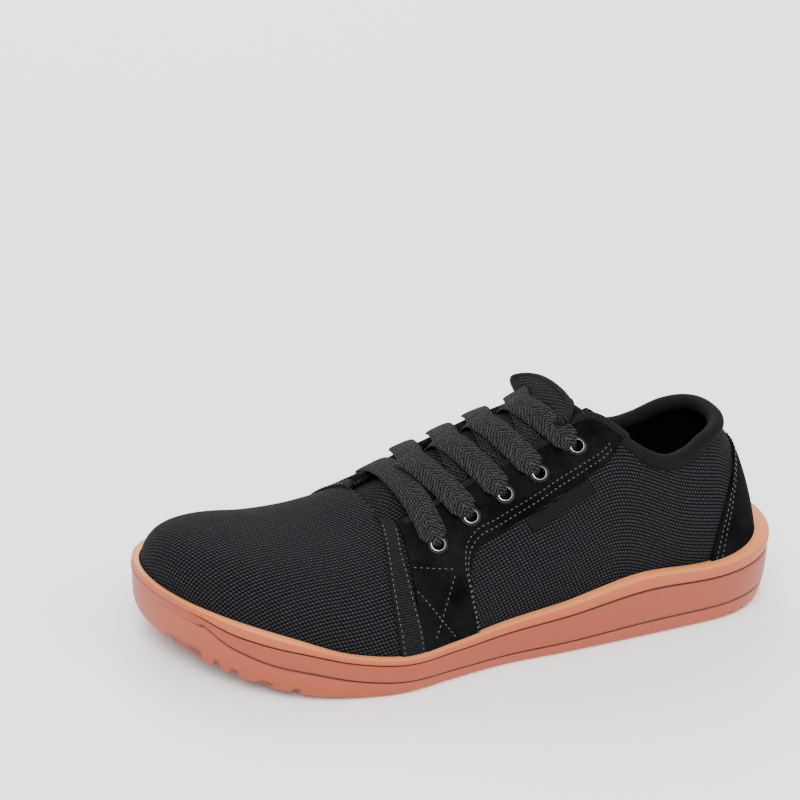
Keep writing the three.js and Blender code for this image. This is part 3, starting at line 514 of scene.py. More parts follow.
steel = makeSteel("platedSteel", {"color": "#b4b6ba"})
# painted reflection: this dark steel colour on the eyelets' outer bead and groove stands in for the dark
# surroundings that polished steel reflects
darkSteel = makeSteel("darkReflectionSteel", {"color": "#252629"})
thread = makeThread("bondedThread", {"dark": "#2a2a2d", "light": "#58585c"})
print("materials made")


# Camera, lights and floor. The view is the photograph's: turned and raised round a target in the
# middle of the shoe, rolled, and turned again so that the target falls on its pixel.
view = {"yaw": 30.6, "elevation": 27.6, "roll": 5.7, "pixelsPerMm": 2.357, "distance": 1100.0,
        "target": (141.5, 0.0, 40.0), "targetPixel": (468, 526), "imageSize": 800, "sensor": 36.0}


def makeCamera():
    yaw, elevation, roll = [math.radians(view[key]) for key in ("yaw", "elevation", "roll")]
    back = Vector((math.sin(yaw) * math.cos(elevation), math.cos(yaw) * math.cos(elevation),
                   math.sin(elevation)))
    level = Vector((0, 0, 1)).cross(back).normalized()
    raised = back.cross(level)
    right = level * math.cos(roll) + raised * math.sin(roll)
    up = raised * math.cos(roll) - level * math.sin(roll)
    focal = view["pixelsPerMm"] * view["distance"]
    centre = view["imageSize"] / 2
    sideways = (centre - view["targetPixel"][0]) / focal
    upwards = (view["targetPixel"][1] - centre) / focal
    turned = (back - right * sideways - up * upwards).normalized()
    right = (right - turned * right.dot(turned)).normalized()
    up = turned.cross(right)
    camera = bpy.data.objects.new("camera", bpy.data.cameras.new("camera"))
    target = (Vector(view["target"]) + Vector(origin)) / 1000
    place = target + back * view["distance"] / 1000
    turn = Matrix((right, up, turned)).transposed().to_4x4()
    camera.matrix_world = Matrix.Translation(place) @ turn
    camera.data.sensor_width = view["sensor"]
    camera.data.lens = focal / view["imageSize"] * view["sensor"]
    bpy.context.scene.collection.objects.link(camera)
    bpy.context.scene.camera = camera


studio = {
    "key": {"place": (0.7, 0.9, 1.6), "size": 1.2, "power": 34.0},
    "fill": {"place": (-1.3, 1.2, 1.0), "size": 1.4, "power": 14.0},
    "rim": {"place": (-0.3, -1.4, 1.2), "size": 1.2, "power": 26.0},
    "world": 1.5, "floor": "#fafafa",
}


def makeStudio():
    for name in ("key", "fill", "rim"):
        look = studio[name]
        data = bpy.data.lights.new(name, "AREA")
        data.size = look["size"]
        data.energy = look["power"]
        light = bpy.data.objects.new(name, data)
        light.location = look["place"]
        light.rotation_euler = (-Vector(look["place"])).to_track_quat("-Z", "Y").to_euler()
        bpy.context.scene.collection.objects.link(light)
    world = bpy.data.worlds.new("studio")
    bpy.context.scene.world = world
    world.use_nodes = True
    world.node_tree.nodes["Background"].inputs[0].default_value = (1, 1, 1, 1)
    world.node_tree.nodes["Background"].inputs[1].default_value = studio["world"]
    corners = [(-4, -4, 0), (4, -4, 0), (4, 4, 0), (-4, 4, 0)]
    mesh = bpy.data.meshes.new("floor")
    mesh.from_pydata(corners, [], [(0, 1, 2, 3)])
    paper, _, _ = newMaterial("matPaper", Roughness=0.9, Base_Color=linear(studio["floor"]))
    mesh.materials.append(paper)
    floor = bpy.data.objects.new("floor", mesh)
    bpy.context.scene.collection.objects.link(floor)


makeCamera()
makeStudio()
print("camera, lights and floor made")

# Tongue under the laces: where it lies below the last, and how far it swells up in the throat
tongue = {"up": 0.62, "front": 0.735, "lie": -3.2, "bulge": 4.2, "thickness": 3.0, "swell": 0.06,
          "bend": 0.402, "end": 0.364, "endRound": 0.018, "riseMiddle": 1.6, "riseSide": 6.2,
          "spreadOuter": 3.0, "spreadInner": 15.0, "innerRise": 0.6,
          "bindingWide": 3.6, "bindingThick": 3.4, "sideRound": 14, "tipRound": 5}
tongueEdge = (1 - shoe["throatUp"]) / (1 - tongue["up"])


def tongueLift(across):
    # A bump whose height falls as the square of 1 - (across / edge)2
    share = np.clip(1 - (across / tongueEdge) ** 2, 0, 1)
    return tongue["bulge"] * share * share


def onTongue(x, across, height):
    # Across is 0 on the ridge and 1 at the tongue's edge, positive on the outer side
    turn = np.arccos(1 - 2 * np.asarray(x) / shoe["soleLength"]) * np.where(across < 0, -1, 1)
    return onLast(turn, 1 - np.abs(across) * (1 - tongue["up"]), height)


# Laces
laces = {"width": 11.4, "thickness": 1.7, "boreWidth": 5.4, "boreThickness": 2.6, "stations": 110,
         "sides": 18, "over": 1.9, "eyeletTurns": [103.1, 96.4, 89.9, 83.5, 75.8],
         "eyeletUps": [0.55, 0.585, 0.6, 0.62, 0.64], "clear": 1.2, "hidden": -2.65,
         "overReach": 11.0, "hiddenThickness": 0.9, "bend": (0.5, 4.6)}
# Height of a strand over the last by its distance from the eyelet's axis
laceRise = {"along": [0, 1.2, 3.2, 6.0, 11.0, 16.0, 400.0],
            "height": [-3.0, 0.8, 3.9, 3.7, 2.8, 2.7, 2.7]}


def eyeletSpot(k, side):
    turn = math.radians(laces["eyeletTurns"][k])
    across = side * (1 - laces["eyeletUps"][k]) / (1 - tongue["up"])
    place = lastAt(np.array(turn), np.array(laces["eyeletUps"][k]))
    return place[0], across


def laceStrand(start, end, isBar, over):
    # A ribbon along the straight line between two eyelets on the last. Its height follows the
    # table by distance: out of the bore, over the rim, flat to the middle, then down with the
    # tongue and under the far eyestay to the next bore. A bar goes down into both bores.
    t = np.linspace(0, 1, laces["stations"])
    x = start[0] + (end[0] - start[0]) * t
    across = start[1] + (end[1] - start[1]) * t
    base = onTongue(x, across, np.zeros_like(x))
    run = np.concatenate([[0], np.cumsum(np.linalg.norm(np.diff(base, axis=0), axis=1))])
    left = run[-1] - run
    height = readRows(laceRise, "height", run)
    if isBar:
        height = np.minimum(height, readRows(laceRise, "height", left))
        near = np.minimum(run, left)
    else:
        farSide = np.clip(-across * np.sign(start[1]), 0, None)
        dipped = tongue["lie"] + tongueLift(farSide) + laces["clear"]
        sink = blendStep(0.0, 0.14, farSide)
        height = height + (np.minimum(dipped, height) - height) * sink
        under = blendStep(tongueEdge * 0.8, tongueEdge * 1.02, farSide)
        height = height + (laces["hidden"] - height) * under
        height = np.where(left < 1.2, height - 0.6 * (1.2 - left), height)
        near = run
        middle = np.abs(run - run[-1] / 2)
        height = height + (laces["over"] if over else 0) * np.exp(-(middle / laces["overReach"]) ** 4)
    turn = np.arccos(1 - 2 * x / shoe["soleLength"]) * np.where(across < 0, -1, 1)
    out = outwardAt(turn, 1 - np.abs(across) * (1 - tongue["up"]))
    path = base + out * height[:, None]
    along = unit(np.gradient(path, axis=0))
    out = unit(out - along * np.sum(out * along, -1, keepdims=True))
    wide = np.cross(along, out)
    spread = blendStep(*laces["bend"], near)
    width = laces["boreWidth"] + (laces["width"] - laces["boreWidth"]) * spread
    thick = laces["boreThickness"] + (laces["thickness"] - laces["boreThickness"]) * spread
    if not isBar:
        hidden = blendStep(tongueEdge * 0.95, tongueEdge * 1.1, farSide)
        thick = thick + (laces["hiddenThickness"] - thick) * hidden
        width = width + (laces["boreWidth"] - width) * blendStep(8.0, 1.5, left)
    angle = np.arange(laces["sides"]) * 2 * math.pi / laces["sides"]
    across2 = np.sign(np.cos(angle)) * np.abs(np.cos(angle)) ** 0.7 / 2
    over2 = np.sign(np.sin(angle)) * np.abs(np.sin(angle)) ** 0.9 / 2
    points = (path[:, None] + wide[:, None] * (width[:, None] * across2)[..., None]
              + out[:, None] * (thick[:, None] * over2)[..., None])
    length = np.concatenate([[0], np.cumsum(np.linalg.norm(np.diff(path, axis=0), axis=1))])
    v = np.broadcast_to(width[:, None] * across2, points.shape[:2])
    uv = np.stack([np.broadcast_to(length[:, None], points.shape[:2]), v], -1) / 1000
    return points, uv


def makeLaces():
    count, sides = laces["stations"], laces["sides"]
    strandFaces = gridFaces(count, sides, roundColumns=True)
    ends = [list(range(sides))[::-1], [(count - 1) * sides + i for i in range(sides)]]
    for k in range(1, len(laces["eyeletUps"])):
        strands = [laceStrand(eyeletSpot(k, 1), eyeletSpot(k - 1, -1), False, True),
                   laceStrand(eyeletSpot(k, -1), eyeletSpot(k - 1, 1), False, False)]
        if k == 1:
            strands.append(laceStrand(eyeletSpot(0, 1), eyeletSpot(0, -1), True, False))
        points = np.concatenate([strand[0].reshape(-1, 3) for strand in strands])
        uv = np.concatenate([strand[1].reshape(-1, 2) for strand in strands])
        steps = [i * count * sides for i in range(len(strands))]
        faces = np.concatenate([strandFaces + step for step in steps])
        caps = [[i + step for i in cap] for step in steps for cap in ends]
        makeObject(f"lace_{k}", points, faces, laceCloth, "lace_weave", [f"lace_crossing_{k}"],
                   uv=uv, caps=caps)


makeLaces()
print("laces made")

# Sole: levels of its side from the tread to the lip. Share is of the wall's height, inset is how
# far the level lies inside the outline, and line marks the grooves that fade at the toe.
sole = {
    "stations": 760, "edgeStep": 0.3, "treadDepth": 2.4, "treadRim": 11.0,
    "hexPitch": 15.6, "hexAcross": 12.3,
    "waveSpacing": 7.8, "waveWidth": 2.6, "waveSwing": 2.6, "waveCount": 5,
    "fieldRear": 0.15, "fieldFront": 0.835, "waveHeel": 0.125, "waveToe": 0.855,
    "lugAlong": 0.7265, "lugAcross": 0.171, "bumperFrom": 0.955, "bumperTo": 0.97,
    "share": [0, .02, .05, .1, .18, .255, .28, .3, .32, .345, .42, .55, .68, .745, .77, .79, .81,
              .835, .88, .93, .965, .985, 1],
    "inset": [3.6, 2.5, 1.7, 1.1, .7, .5, .62, 1.25, .62, .1, 0, .05, .2, .35, .55, 1.5, .7,
              .3, .2, .25, .4, .65, 1.1],
    "line": [.28, .3, .32, .77, .79, .81], "lower": .3, "upper": .79,
    "plainShare": [0, .1, .255, .345, .745, .835, 1],
    "plainInset": [3.6, 1.1, .5, .1, .35, .3, 1.1],
}
# The two grooves climb where the toe bumper wraps the sole
soleLines = {
    "along": [0, 0.6, 0.7, 0.82, 0.9, 0.935, 0.955, 1.0],
    "lower": [0.3, 0.3, 0.38, 0.5, 0.5, 0.6, 0.76, 0.8],
    "upper": [0.79, 0.79, 0.83, 0.85, 0.79, 0.8, 0.86, 0.88],
}


def sideShare(share, along):
    # Moves a level so that the two grooves follow their curves, with even steps between them
    low, high = readRows(soleLines, "lower", along), readRows(soleLines, "upper", along)
    lower, upper = sole["lower"], sole["upper"]
    if share <= lower:
        return share * low / lower
    if share <= upper:
        return low + (high - low) * (share - lower) / (upper - lower)
    return high + (1 - high) * (share - upper) / (1 - upper)


def treadRecess(x, y, inset):
    # 1 in the hexagon field and in the wavy grooves, 0 elsewhere, with short slopes between. A
    # groove follows a cosine across the shoe.
    length = shoe["soleLength"]
    field = (blendStep(-0.5, 0.5, x - sole["fieldRear"] * length)
             * blendStep(-0.5, 0.5, sole["fieldFront"] * length - x)
             * blendStep(-0.2, 0.2, inset - sole["treadRim"]))
    swing = sole["waveSwing"] * np.cos(math.pi * y / sole["hexPitch"])
    waves = np.zeros_like(x)
    for i in range(sole["waveCount"]):
        for place in (sole["waveHeel"] * length - i * sole["waveSpacing"],
                      sole["waveToe"] * length + i * sole["waveSpacing"]):
            far = np.abs(x - place - swing)
            waves = np.maximum(waves, blendStep(0.5, -0.5, far - sole["waveWidth"] / 2))
    return np.maximum(field, waves)


def makeSole():
    # One closed skin of rings round the shoe: from the middle of the tread out to its edge, up
    # the side by the levels, over the lip, down inside along the last and in over the floor
    length = shoe["soleLength"]
    turn = np.arange(sole["stations"]) * 2 * math.pi / sole["stations"]
    rings, levels, recesses = [], [], []
    fieldEdge = sole["treadRim"] + sole["edgeStep"]
    inner = outlineAt(turn, fieldEdge, fieldEdge)
    middle = shoe["ballWidth"] * readRows(soleRows, "middle", inner[0] / length)
    for share in np.linspace(0, 1, 22):
        rings.append((inner[0], middle + (inner[1] - middle) * share, fieldEdge))
    for inset in (sole["treadRim"] - sole["edgeStep"], 9.0, 7.0, 5.2):
        rings.append((*outlineAt(turn, inset, inset), inset))
    points = []
    for x, y, inset in rings:
        recess = treadRecess(x, y, np.full_like(x, inset))
        points.append(np.stack([x, y, treadAt(x) + sole["treadDepth"] * recess], -1))
        levels.append(np.zeros_like(x))
        recesses.append(recess)
    outer = outlineAt(turn, 0, 0)[0]
    fade = np.clip((sole["bumperTo"] - outer / length) / (sole["bumperTo"] - sole["bumperFrom"]), 0, 1)
    for share, inset in zip(sole["share"], sole["inset"]):
        flat = np.interp(share, sole["plainShare"], sole["plainInset"])
        depth = np.where(share in sole["line"], flat + (inset - flat) * fade, inset)
        x, y = outlineAt(turn, depth, depth)
        low = treadAt(x)
        recess = treadRecess(x, y, np.zeros_like(x)) * blendStep(0.1, 0.05, share)
        top = shoe["lipHeight"] * readRows(soleRows, "lip", x / length)
        z = low + (top - low) * sideShare(share, outer / length)
        points.append(np.stack([x, y, np.maximum(z, low + sole["treadDepth"] * recess)], -1))
        levels.append(np.full_like(x, share if share not in sole["line"] else 0) + np.where(
            np.isin(share, sole["line"]), share * fade + (1 - fade) * 0.5, 0))
        recesses.append(recess)
    top = shoe["lipHeight"] * readRows(soleRows, "lip", points[-1][:, 0] / length)
    for share in (1.0, 0.97, 0.8, 0.5, 0.2, 0.0):
        height = shoe["floorThickness"] + (top - 0.1 - shoe["floorThickness"]) * share
        up = upAtHeight(turn, lambda x, z: z - height, shoe["gap"])
        points.append(lastAt(turn, up, shoe["gap"]))
        levels.append(np.full_like(turn, 1.0 if share > 0.9 else 0.9))
        recesses.append(np.zeros_like(turn))
    floor = points[-1]
    middle = shoe["ballWidth"] * readRows(soleRows, "middle", floor[:, 0] / length)
    for share in (0.7, 0.35, 0.0):
        y = middle + (floor[:, 1] - middle) * share
        z = shoe["floorThickness"] - shoe["gap"] + springAt(floor[:, 0])
        points.append(np.stack([floor[:, 0], y, z], -1))
        levels.append(np.full_like(turn, 0.9))
        recesses.append(np.zeros_like(turn))
    points = np.array(points)
    faces = gridFaces(len(points), len(turn), roundColumns=True)
    # painted light and shade: the level attribute picks the bands, dark in the two grooves and pale on the
    # lip's top edge, and the recess attribute paints shade in the tread's recess and wavy grooves
    makeObject("cup_sole", points, faces, rubber, "gum_rubber", ["outsole"], merge=0.01, sharp=60,
               level=np.array(levels), recess=np.array(recesses))


lug = {"sides": 48, "ring": 0.63, "ringWidth": 0.07, "armEnd": 0.42, "armWidth": 0.75, "carve": 0.9,
       "chamfer": 0.5, "sink": 0.12, "overhang": 0.45,
       "share": [0, .1, .22, .34, .42, .47, .55, .6, .66, .71, .8, .93, 1.0, 1.0]}


def makeLugs():
    # Hexagon lugs: rings from the centre to the hexagon's edge and down its wall. The face has an
    # engraved hexagon ring and three engraved arms, 120 degrees apart.
    length, width = shoe["soleLength"], shoe["ballWidth"]
    radius = sole["hexAcross"] / math.sqrt(3)
    rowStep = sole["hexPitch"] * math.sqrt(0.75)
    row, k = [part.ravel() for part in np.meshgrid(np.arange(-6, 7), np.arange(-19, 20), indexing="ij")]
    x = sole["lugAlong"] * length + sole["hexPitch"] * (k + 0.5 * np.abs(row % 2))
    y = sole["lugAcross"] * width + rowStep * row
    within = np.clip(x, 1, length - 1)
    edgeY = outlineAt(np.arccos(1 - 2 * within / length), 0, 0)[1]
    middle = width * readRows(soleRows, "middle", within / length)
    room = np.abs(edgeY - middle) - sole["treadRim"] + radius * lug["overhang"]
    kept = ((x > sole["fieldRear"] * length - 1) & (x < sole["fieldFront"] * length + 1)
            & (np.abs(y - middle) < room))
    centre = np.stack([x[kept], y[kept]], -1)
    angle = np.arange(lug["sides"]) * 2 * math.pi / lug["sides"]
    share = np.array(lug["share"])[:, None]
    reach = sole["hexAcross"] / 2 / np.cos((angle + math.pi / 6) % (math.pi / 3) - math.pi / 6)
    reach = np.broadcast_to(reach, (len(share), len(angle)))
    flat = share * reach
    ring = blendStep(lug["ringWidth"], lug["ringWidth"] * 0.5, np.abs(share - lug["ring"]))
    arm = (angle + math.pi / 6) % (2 * math.pi / 3) - math.pi / 3
    arms = blendStep(0.25, -0.1, flat * np.abs(np.sin(arm)) - lug["armWidth"] / 2)
    arms = arms * (share < lug["armEnd"]) * (np.abs(arm) < math.pi / 3)
    carved = np.maximum(ring, arms)
    depth = lug["sink"] + lug["carve"] * carved + lug["chamfer"] * blendStep(0.92, 1.0, share)
    depth = np.broadcast_to(depth, reach.shape).copy()
    depth[-1] = sole["treadDepth"] + 0.3
    offsets = np.stack([flat * np.cos(angle), flat * np.sin(angle)], -1)
    spots = centre[:, None, None] + offsets
    z = treadAt(spots[..., 0]) + depth
    points = np.concatenate([spots, z[..., None]], -1)
    each = gridFaces(len(share), len(angle), roundColumns=True)
    size = len(share) * len(angle)
    faces = (each[None] + (np.arange(len(centre)) * size)[:, None, None]).reshape(-1, 4)
    # painted shade: the engraved ring and arms take 0.6 of the dark recess colour, and the lug's foot takes
    # all of it
    recess = np.broadcast_to(carved * 0.6, reach.shape).copy()
    recess[-1] = 1.0
    recess = np.broadcast_to(recess, (len(centre), *recess.shape))
    makeObject("sole_lugs", points, faces[:, ::-1], rubber, "gum_rubber", ["outsole"], merge=0.005,
               sharp=35, level=np.zeros(recess.size), recess=recess)


makeSole()
makeLugs()
print("sole made")

# Insole: a foam bed that fills the cup, with its rim rounded
insole = {"margin": 2.6, "thickness": 4.0, "round": 1.2, "stations": 240}


def makeInsole():
    # Rings of the outline moved in by a margin, from the middle of the underside round the rim to
    # the middle of the top.
    turn = np.arange(insole["stations"]) * 2 * math.pi / insole["stations"]
    profile = [(0, 0), (1, 0), (1, 0.7), (0.985, 0.93), (0.95, 1), (0.8, 1), (0.6, 1), (0.4, 1),
               (0.2, 1), (0, 1)]
    rings = []
    for share, height in profile:
        x, y = outlineAt(turn, shoe["heelMargin"] + insole["margin"], shoe["toeMargin"] + insole["margin"])
        middle = shoe["ballWidth"] * readRows(soleRows, "middle", x / shoe["soleLength"])
        y = middle + (y - middle) * share
        z = shoe["floorThickness"] + springAt(x) + insole["thickness"] * height
        rings.append(np.stack([x, y, z], -1))
    points = np.array(rings)
    uv = points[..., :2] / 1000
    makeObject("insole_bed", points, gridFaces(len(rings), len(turn), roundColumns=True), foamCloth,
               "insole_foam", ["insole"], uv=uv, merge=0.01)


makeInsole()

# Collar: height of the padded roll, which tapers where it runs out into the eyestays
collar = {"size": 7.0, "endSize": 3.4, "taperFrom": 0.27, "taperTo": 0.33, "end": 0.335,
          "stations": 240, "sides": 24, "bindingFrom": 0.285}


def collarLine(x, depth, side):
    # The table's height for that side, less a depth measured square to the edge
    heights = []
    for at in (x - 1, x, x + 1):
        outer, inner = [readRows(collarRows, name, at / shoe["soleLength"]) for name in ("outer", "inner")]
        heights.append(shoe["heelHeight"] * np.where(side > 0, outer, inner))
    slope = (heights[2] - heights[0]) / 2
    return heights[1] - depth * np.hypot(1, slope)


def collarSizeAt(x):
    share = np.clip((x / shoe["soleLength"] - collar["taperFrom"])
                    / (collar["taperTo"] - collar["taperFrom"]), 0, 1)
    return collar["size"] + (collar["endSize"] - collar["size"]) * share


# Soft creases of the upper: centre and direction in the shoe's frame, half
# length, half width and height in millimetres. A negative height is a trough.
creases = [
    {"at": (196, 30, 46), "along": (-0.25, 1, -0.5), "long": 22, "wide": 6, "height": -0.7},
    {"at": (206, 8, 54), "along": (-0.1, 1, 0.05), "long": 28, "wide": 7, "height": -0.6},
    {"at": (216, -14, 52), "along": (0.1, 1, -0.1), "long": 24, "wide": 8, "height": 0.5},
    {"at": (120, 36, 52), "along": (1, 0, -0.35), "long": 34, "wide": 8, "height": -0.8},
    {"at": (84, 38, 52), "along": (1, 0, -0.9), "long": 22, "wide": 7, "height": -0.7},
    {"at": (70, 36, 66), "along": (1, 0.1, -0.5), "long": 20, "wide": 6, "height": 0.6},
    {"at": (120, -36, 52), "along": (1, 0, -0.3), "long": 36, "wide": 9, "height": -0.8},
    {"at": (80, -30, 56), "along": (1, 0, -0.8), "long": 24, "wide": 8, "height": -0.7},
    {"at": (196, -46, 40), "along": (-0.2, 1, 0.5), "long": 20, "wide": 7, "height": -0.6},
]


def creaseLift(points):
    # Each crease is a bump that fades as exp(-(distance / size)2) along it and across it
    lift = np.zeros(points.shape[:-1])
    for crease in creases:
        along = unit(np.array(crease["along"], float))
        away = points - np.array(crease["at"], float)
        run = away @ along
        wide = np.linalg.norm(away - run[..., None] * along, axis=-1)
        lift = lift + crease["height"] * np.exp(-(run / crease["long"]) ** 2 - (wide / crease["wide"]) ** 2)
    return lift


upper = {"half": 230, "rows": 74, "capRows": 60, "hole": 3.3, "holeSides": 24,
         "holeReach": 6}


def upperTop(turn):
    # How far up the wall reaches at each turn: to the roll's underside round the heel, to the
    # collar's line at the ears, and to the throat's rim from there on
    side = np.sign(turn + 1e-9)

    def past(x, z):
        share = x / shoe["soleLength"]
        depth = collarSizeAt(x) * 0.8 * (1 - blendStep(0.325, 0.345, share))
        return z - collarLine(x, depth, side)
    up = upAtHeight(turn, past)
    return np.minimum(up, shoe["throatUp"])


def unrolled(turn):
    # Flat pattern of the wall: the distance down from the ridge along a section, laid out in
    # the section's own direction seen from above
    length = shoe["soleLength"]
    edgeX, edgeY = outlineAt(turn, shoe["heelMargin"], shoe["toeMargin"])
    centre = np.clip(edgeX, shoe["fanRear"] * length, shoe["fanFront"] * length)
    spine = shoe["ballWidth"] * readRows(lastRows, "spine", centre / length)
    ups = np.linspace(1, 0, 160)
    section = lastAt(turn[:, None], ups[None])
    run = np.concatenate([np.zeros((len(turn), 1)),
                          np.cumsum(np.linalg.norm(np.diff(section, axis=1), axis=-1), 1)], 1)
    direction = unit(np.stack([edgeX - centre, edgeY - spine], -1))
    return centre, direction, ups, run


def makeUpper():
    # A side wall from the feather edge up to its top, and a vamp between the two rims in front of
    # the throat, welded along the rim, then given its thickness inwards
    length = shoe["soleLength"]
    turn = np.linspace(-math.pi, math.pi, 2 * upper["half"] + 1)
    share = np.linspace(0, 1, upper["rows"])[None]
    up = upperTop(turn)[:, None] * (0.03 + 0.97 * share)
    front = math.acos(1 - 2 * (shoe["throatFront"] * length - shoe["heelMargin"])
                      / (length - shoe["heelMargin"] - shoe["toeMargin"]))
    first = int(np.searchsorted(turn, front))
    capTurn = turn[first:]
    capTurn = np.concatenate([[front], capTurn])
    across = np.linspace(-1, 1, upper["capRows"])[None]
    capUp = 1 - np.abs(across) * (1 - shoe["throatUp"])
    centre, direction, ups, run = unrolled(turn)

    def wall(turns, heights):
        place = onLast(turns, heights, np.zeros(np.broadcast_shapes(turns.shape, heights.shape)))
        return place + outwardAt(turns, heights) * creaseLift(place)[..., None]

    def flat(turns, heights):
        turns, heights = np.broadcast_arrays(turns, heights)
        low = np.clip(np.interp(turns, turn, np.arange(len(turn))), 0, len(turn) - 1)
        column = np.round(low).astype(int)
        level = (1 - heights) * (len(ups) - 1)
        k = np.clip(level.astype(int), 0, len(ups) - 2)
        part = level - k
        distance = run[column, k] * (1 - part) + run[column, k + 1] * part
        return np.stack([centre[column] + distance * direction[column, 0],
                         distance * direction[column, 1]], -1) / 1000

    side = wall(turn[:, None], up)
    sideUv = flat(turn[:, None], up)
    capTurns = capTurn[:, None] * np.where(across < 0, -1, 1)
    cap = wall(capTurns, np.broadcast_to(capUp, capTurns.shape))
    capUv = flat(capTurns, np.broadcast_to(capUp, capTurns.shape))
    points = np.concatenate([side.reshape(-1, 3), cap.reshape(-1, 3)])
    uv = np.concatenate([sideUv.reshape(-1, 2), capUv.reshape(-1, 2)])
    sideFaces = gridFaces(*side.shape[:2])
    capFaces = gridFaces(*cap.shape[:2]) + side.shape[0] * side.shape[1]
    faces = np.concatenate([sideFaces, capFaces])
    item = makeObject("knit_upper", points, faces, knit, "knit_mesh", ["upper"], uv=uv, merge=0.15,
                      sharp=70)
    work = bmesh.new()
    work.from_mesh(item.data)
    bmesh.ops.recalc_face_normals(work, faces=work.faces)
    work.to_mesh(item.data)
    work.free()
    item.data.materials.append(lining)
    solid = item.modifiers.new("wall", "SOLIDIFY")
    solid.thickness = shoe["upperWall"] / 1000
    solid.offset = -1
    solid.material_offset = 1
    solid.material_offset_rim = 0
    applyModifiers(item)
    return item


upperItem = makeUpper()
print("upper made")


def panelPoints(x, z, side, edgeNear, thickness, roundness):
    # A panel on the last: its upper face rises from the edge as a quarter circle, and its lower
    # face lies just under the wall's surface
    turn, up = sidePlace(x, z, side)
    share = np.clip(edgeNear / roundness, 0, 1)
    height = panelSeat + thickness * np.sqrt(1 - (1 - share) ** 2)
    low = onLast(turn, up, np.full(turn.shape, -panelSink))
    high = onLast(turn, up, height)
    return high + outwardAt(turn, up) * creaseLift(high)[..., None] * 0.7, low


def spacing(count):
    # Even steps with closer ones at both ends, where an edge is rounded
    t = np.linspace(0, 1, count)
    return 0.45 * t + 0.55 * (0.5 - 0.5 * np.cos(math.pi * t))


def edgeDistance(x, z):
    # Distance from the nearest edge of a grid, in millimetres, measured along its lines
    rows = np.concatenate([np.zeros((1, x.shape[1])),
                           np.cumsum(np.hypot(np.diff(x, axis=0), np.diff(z, axis=0)), 0)])
    columns = np.concatenate([np.zeros((x.shape[0], 1)),
                              np.cumsum(np.hypot(np.diff(x, axis=1), np.diff(z, axis=1)), 1)], 1)
    return np.minimum(np.minimum(rows, rows[-1:] - rows), np.minimum(columns, columns[:, -1:] - columns))


# How far above and below the wall's surface the two faces of every panel's edge lie
panelSeat = 0.15
panelSink = 0.3

# Eyestay: its lower edge and, beside it, the place on the upper edge that a row runs to. The
# front edge bows forward by a few millimetres beside the tape.
stay = {"thickness": 1.25, "round": 0.8, "columns": 230, "rows": 56, "cornerRound": 2.4, "bow": 3.5,
        "rowInsets": [2.7, 4.8],
        "edge": [0.312, 0.342, 0.376, 0.43, 0.484, 0.52, 0.55, 0.569, 0.576, 0.573, 0.566, 0.655],
        "height": [0.826, 0.758, 0.715, 0.652, 0.587, 0.543, 0.51, 0.463, 0.41, 0.3, 0.1, 0.1],
        "top": [0.306, 0.352, 0.396, 0.455, 0.51, 0.548, 0.577, 0.594, 0.607, 0.619, 0.633, 0.654]}


def throatRim(x, side):
    # Height of the eyestay's upper edge: the lower of the throat's rim and the collar's line, with
    # the corner between them rounded by a logarithm of the two exponentials
    length = shoe["soleLength"]
    share = (x - shoe["heelMargin"]) / (length - shoe["heelMargin"] - shoe["toeMargin"])
    turn = np.arccos(1 - 2 * share)
    rim = lastAt(turn, np.full(turn.shape, shoe["throatUp"]))[..., 2]
    line = collarLine(x, 0.0, side)
    low = np.minimum(rim, line)
    return low - stay["cornerRound"] * np.log1p(np.exp(-np.abs(rim - line) / stay["cornerRound"]))


def stayPlace(s, t, side):
    # Straight lines in the side view from the lower edge to the upper edge of the eyestay
    length, high = shoe["soleLength"], shoe["instepHeight"]
    x, z = np.array(stay["edge"]) * length, np.array(stay["height"]) * high
    run = np.concatenate([[0], np.cumsum(np.hypot(np.diff(x), np.diff(z)))])
    rows = {"along": run / run[-1], "x": x, "z": z, "top": np.array(stay["top"]) * length}
    lowX, lowZ, topX = [readRows(rows, name, s) for name in ("x", "z", "top")]
    topZ = throatRim(topX, side)
    bow = stay["bow"] * blendStep(0.8, 1.0, s) * np.sin(math.pi * t)
    return lowX + (topX - lowX) * t + bow, lowZ + (topZ - lowZ) * t


tape = {"thickness": 1.0, "round": 0.6, "columns": 30, "rows": 90,
        "along": [0.1, 0.22, 0.33, 0.42, 0.49, 0.54], "rear": [0.656, 0.661, 0.667, 0.668, 0.665, 0.656],
        "front": [0.697, 0.7012, 0.7024, 0.6963, 0.685, 0.6745]}


def tapePlace(s, t, side):
    # Across the strip by s and up it by t. Both edges are curves by height, from the foot to the
    # throat's rim.
    length, high = shoe["soleLength"], shoe["instepHeight"]
    foot = tape["along"][0] * high
    top = throatRim(np.array([tape["rear"][-1] * length]), side)[0]
    z = foot + (top - foot) * t
    front, rear = [readRows(tape, name, z / high) for name in ("front", "rear")]
    return (rear + (front - rear) * s) * length, z


counter = {"thickness": 1.25, "round": 0.8, "columns": 200, "rows": 60,
           "height": [0.1, 0.275, 0.4, 0.52, 0.65, 0.7, 0.715],
           "along": [0.165, 0.16, 0.147, 0.128, 0.1, 0.075, 0.045],
           "rowInsets": [2.0, 4.4], "span": 110, "topRow": 0.965}
label = {"thickness": 0.7, "round": 0.3, "corners": [(0.483, 0.579), (0.378, 0.704), (0.367, 0.656),
                                                      (0.472, 0.538)]}


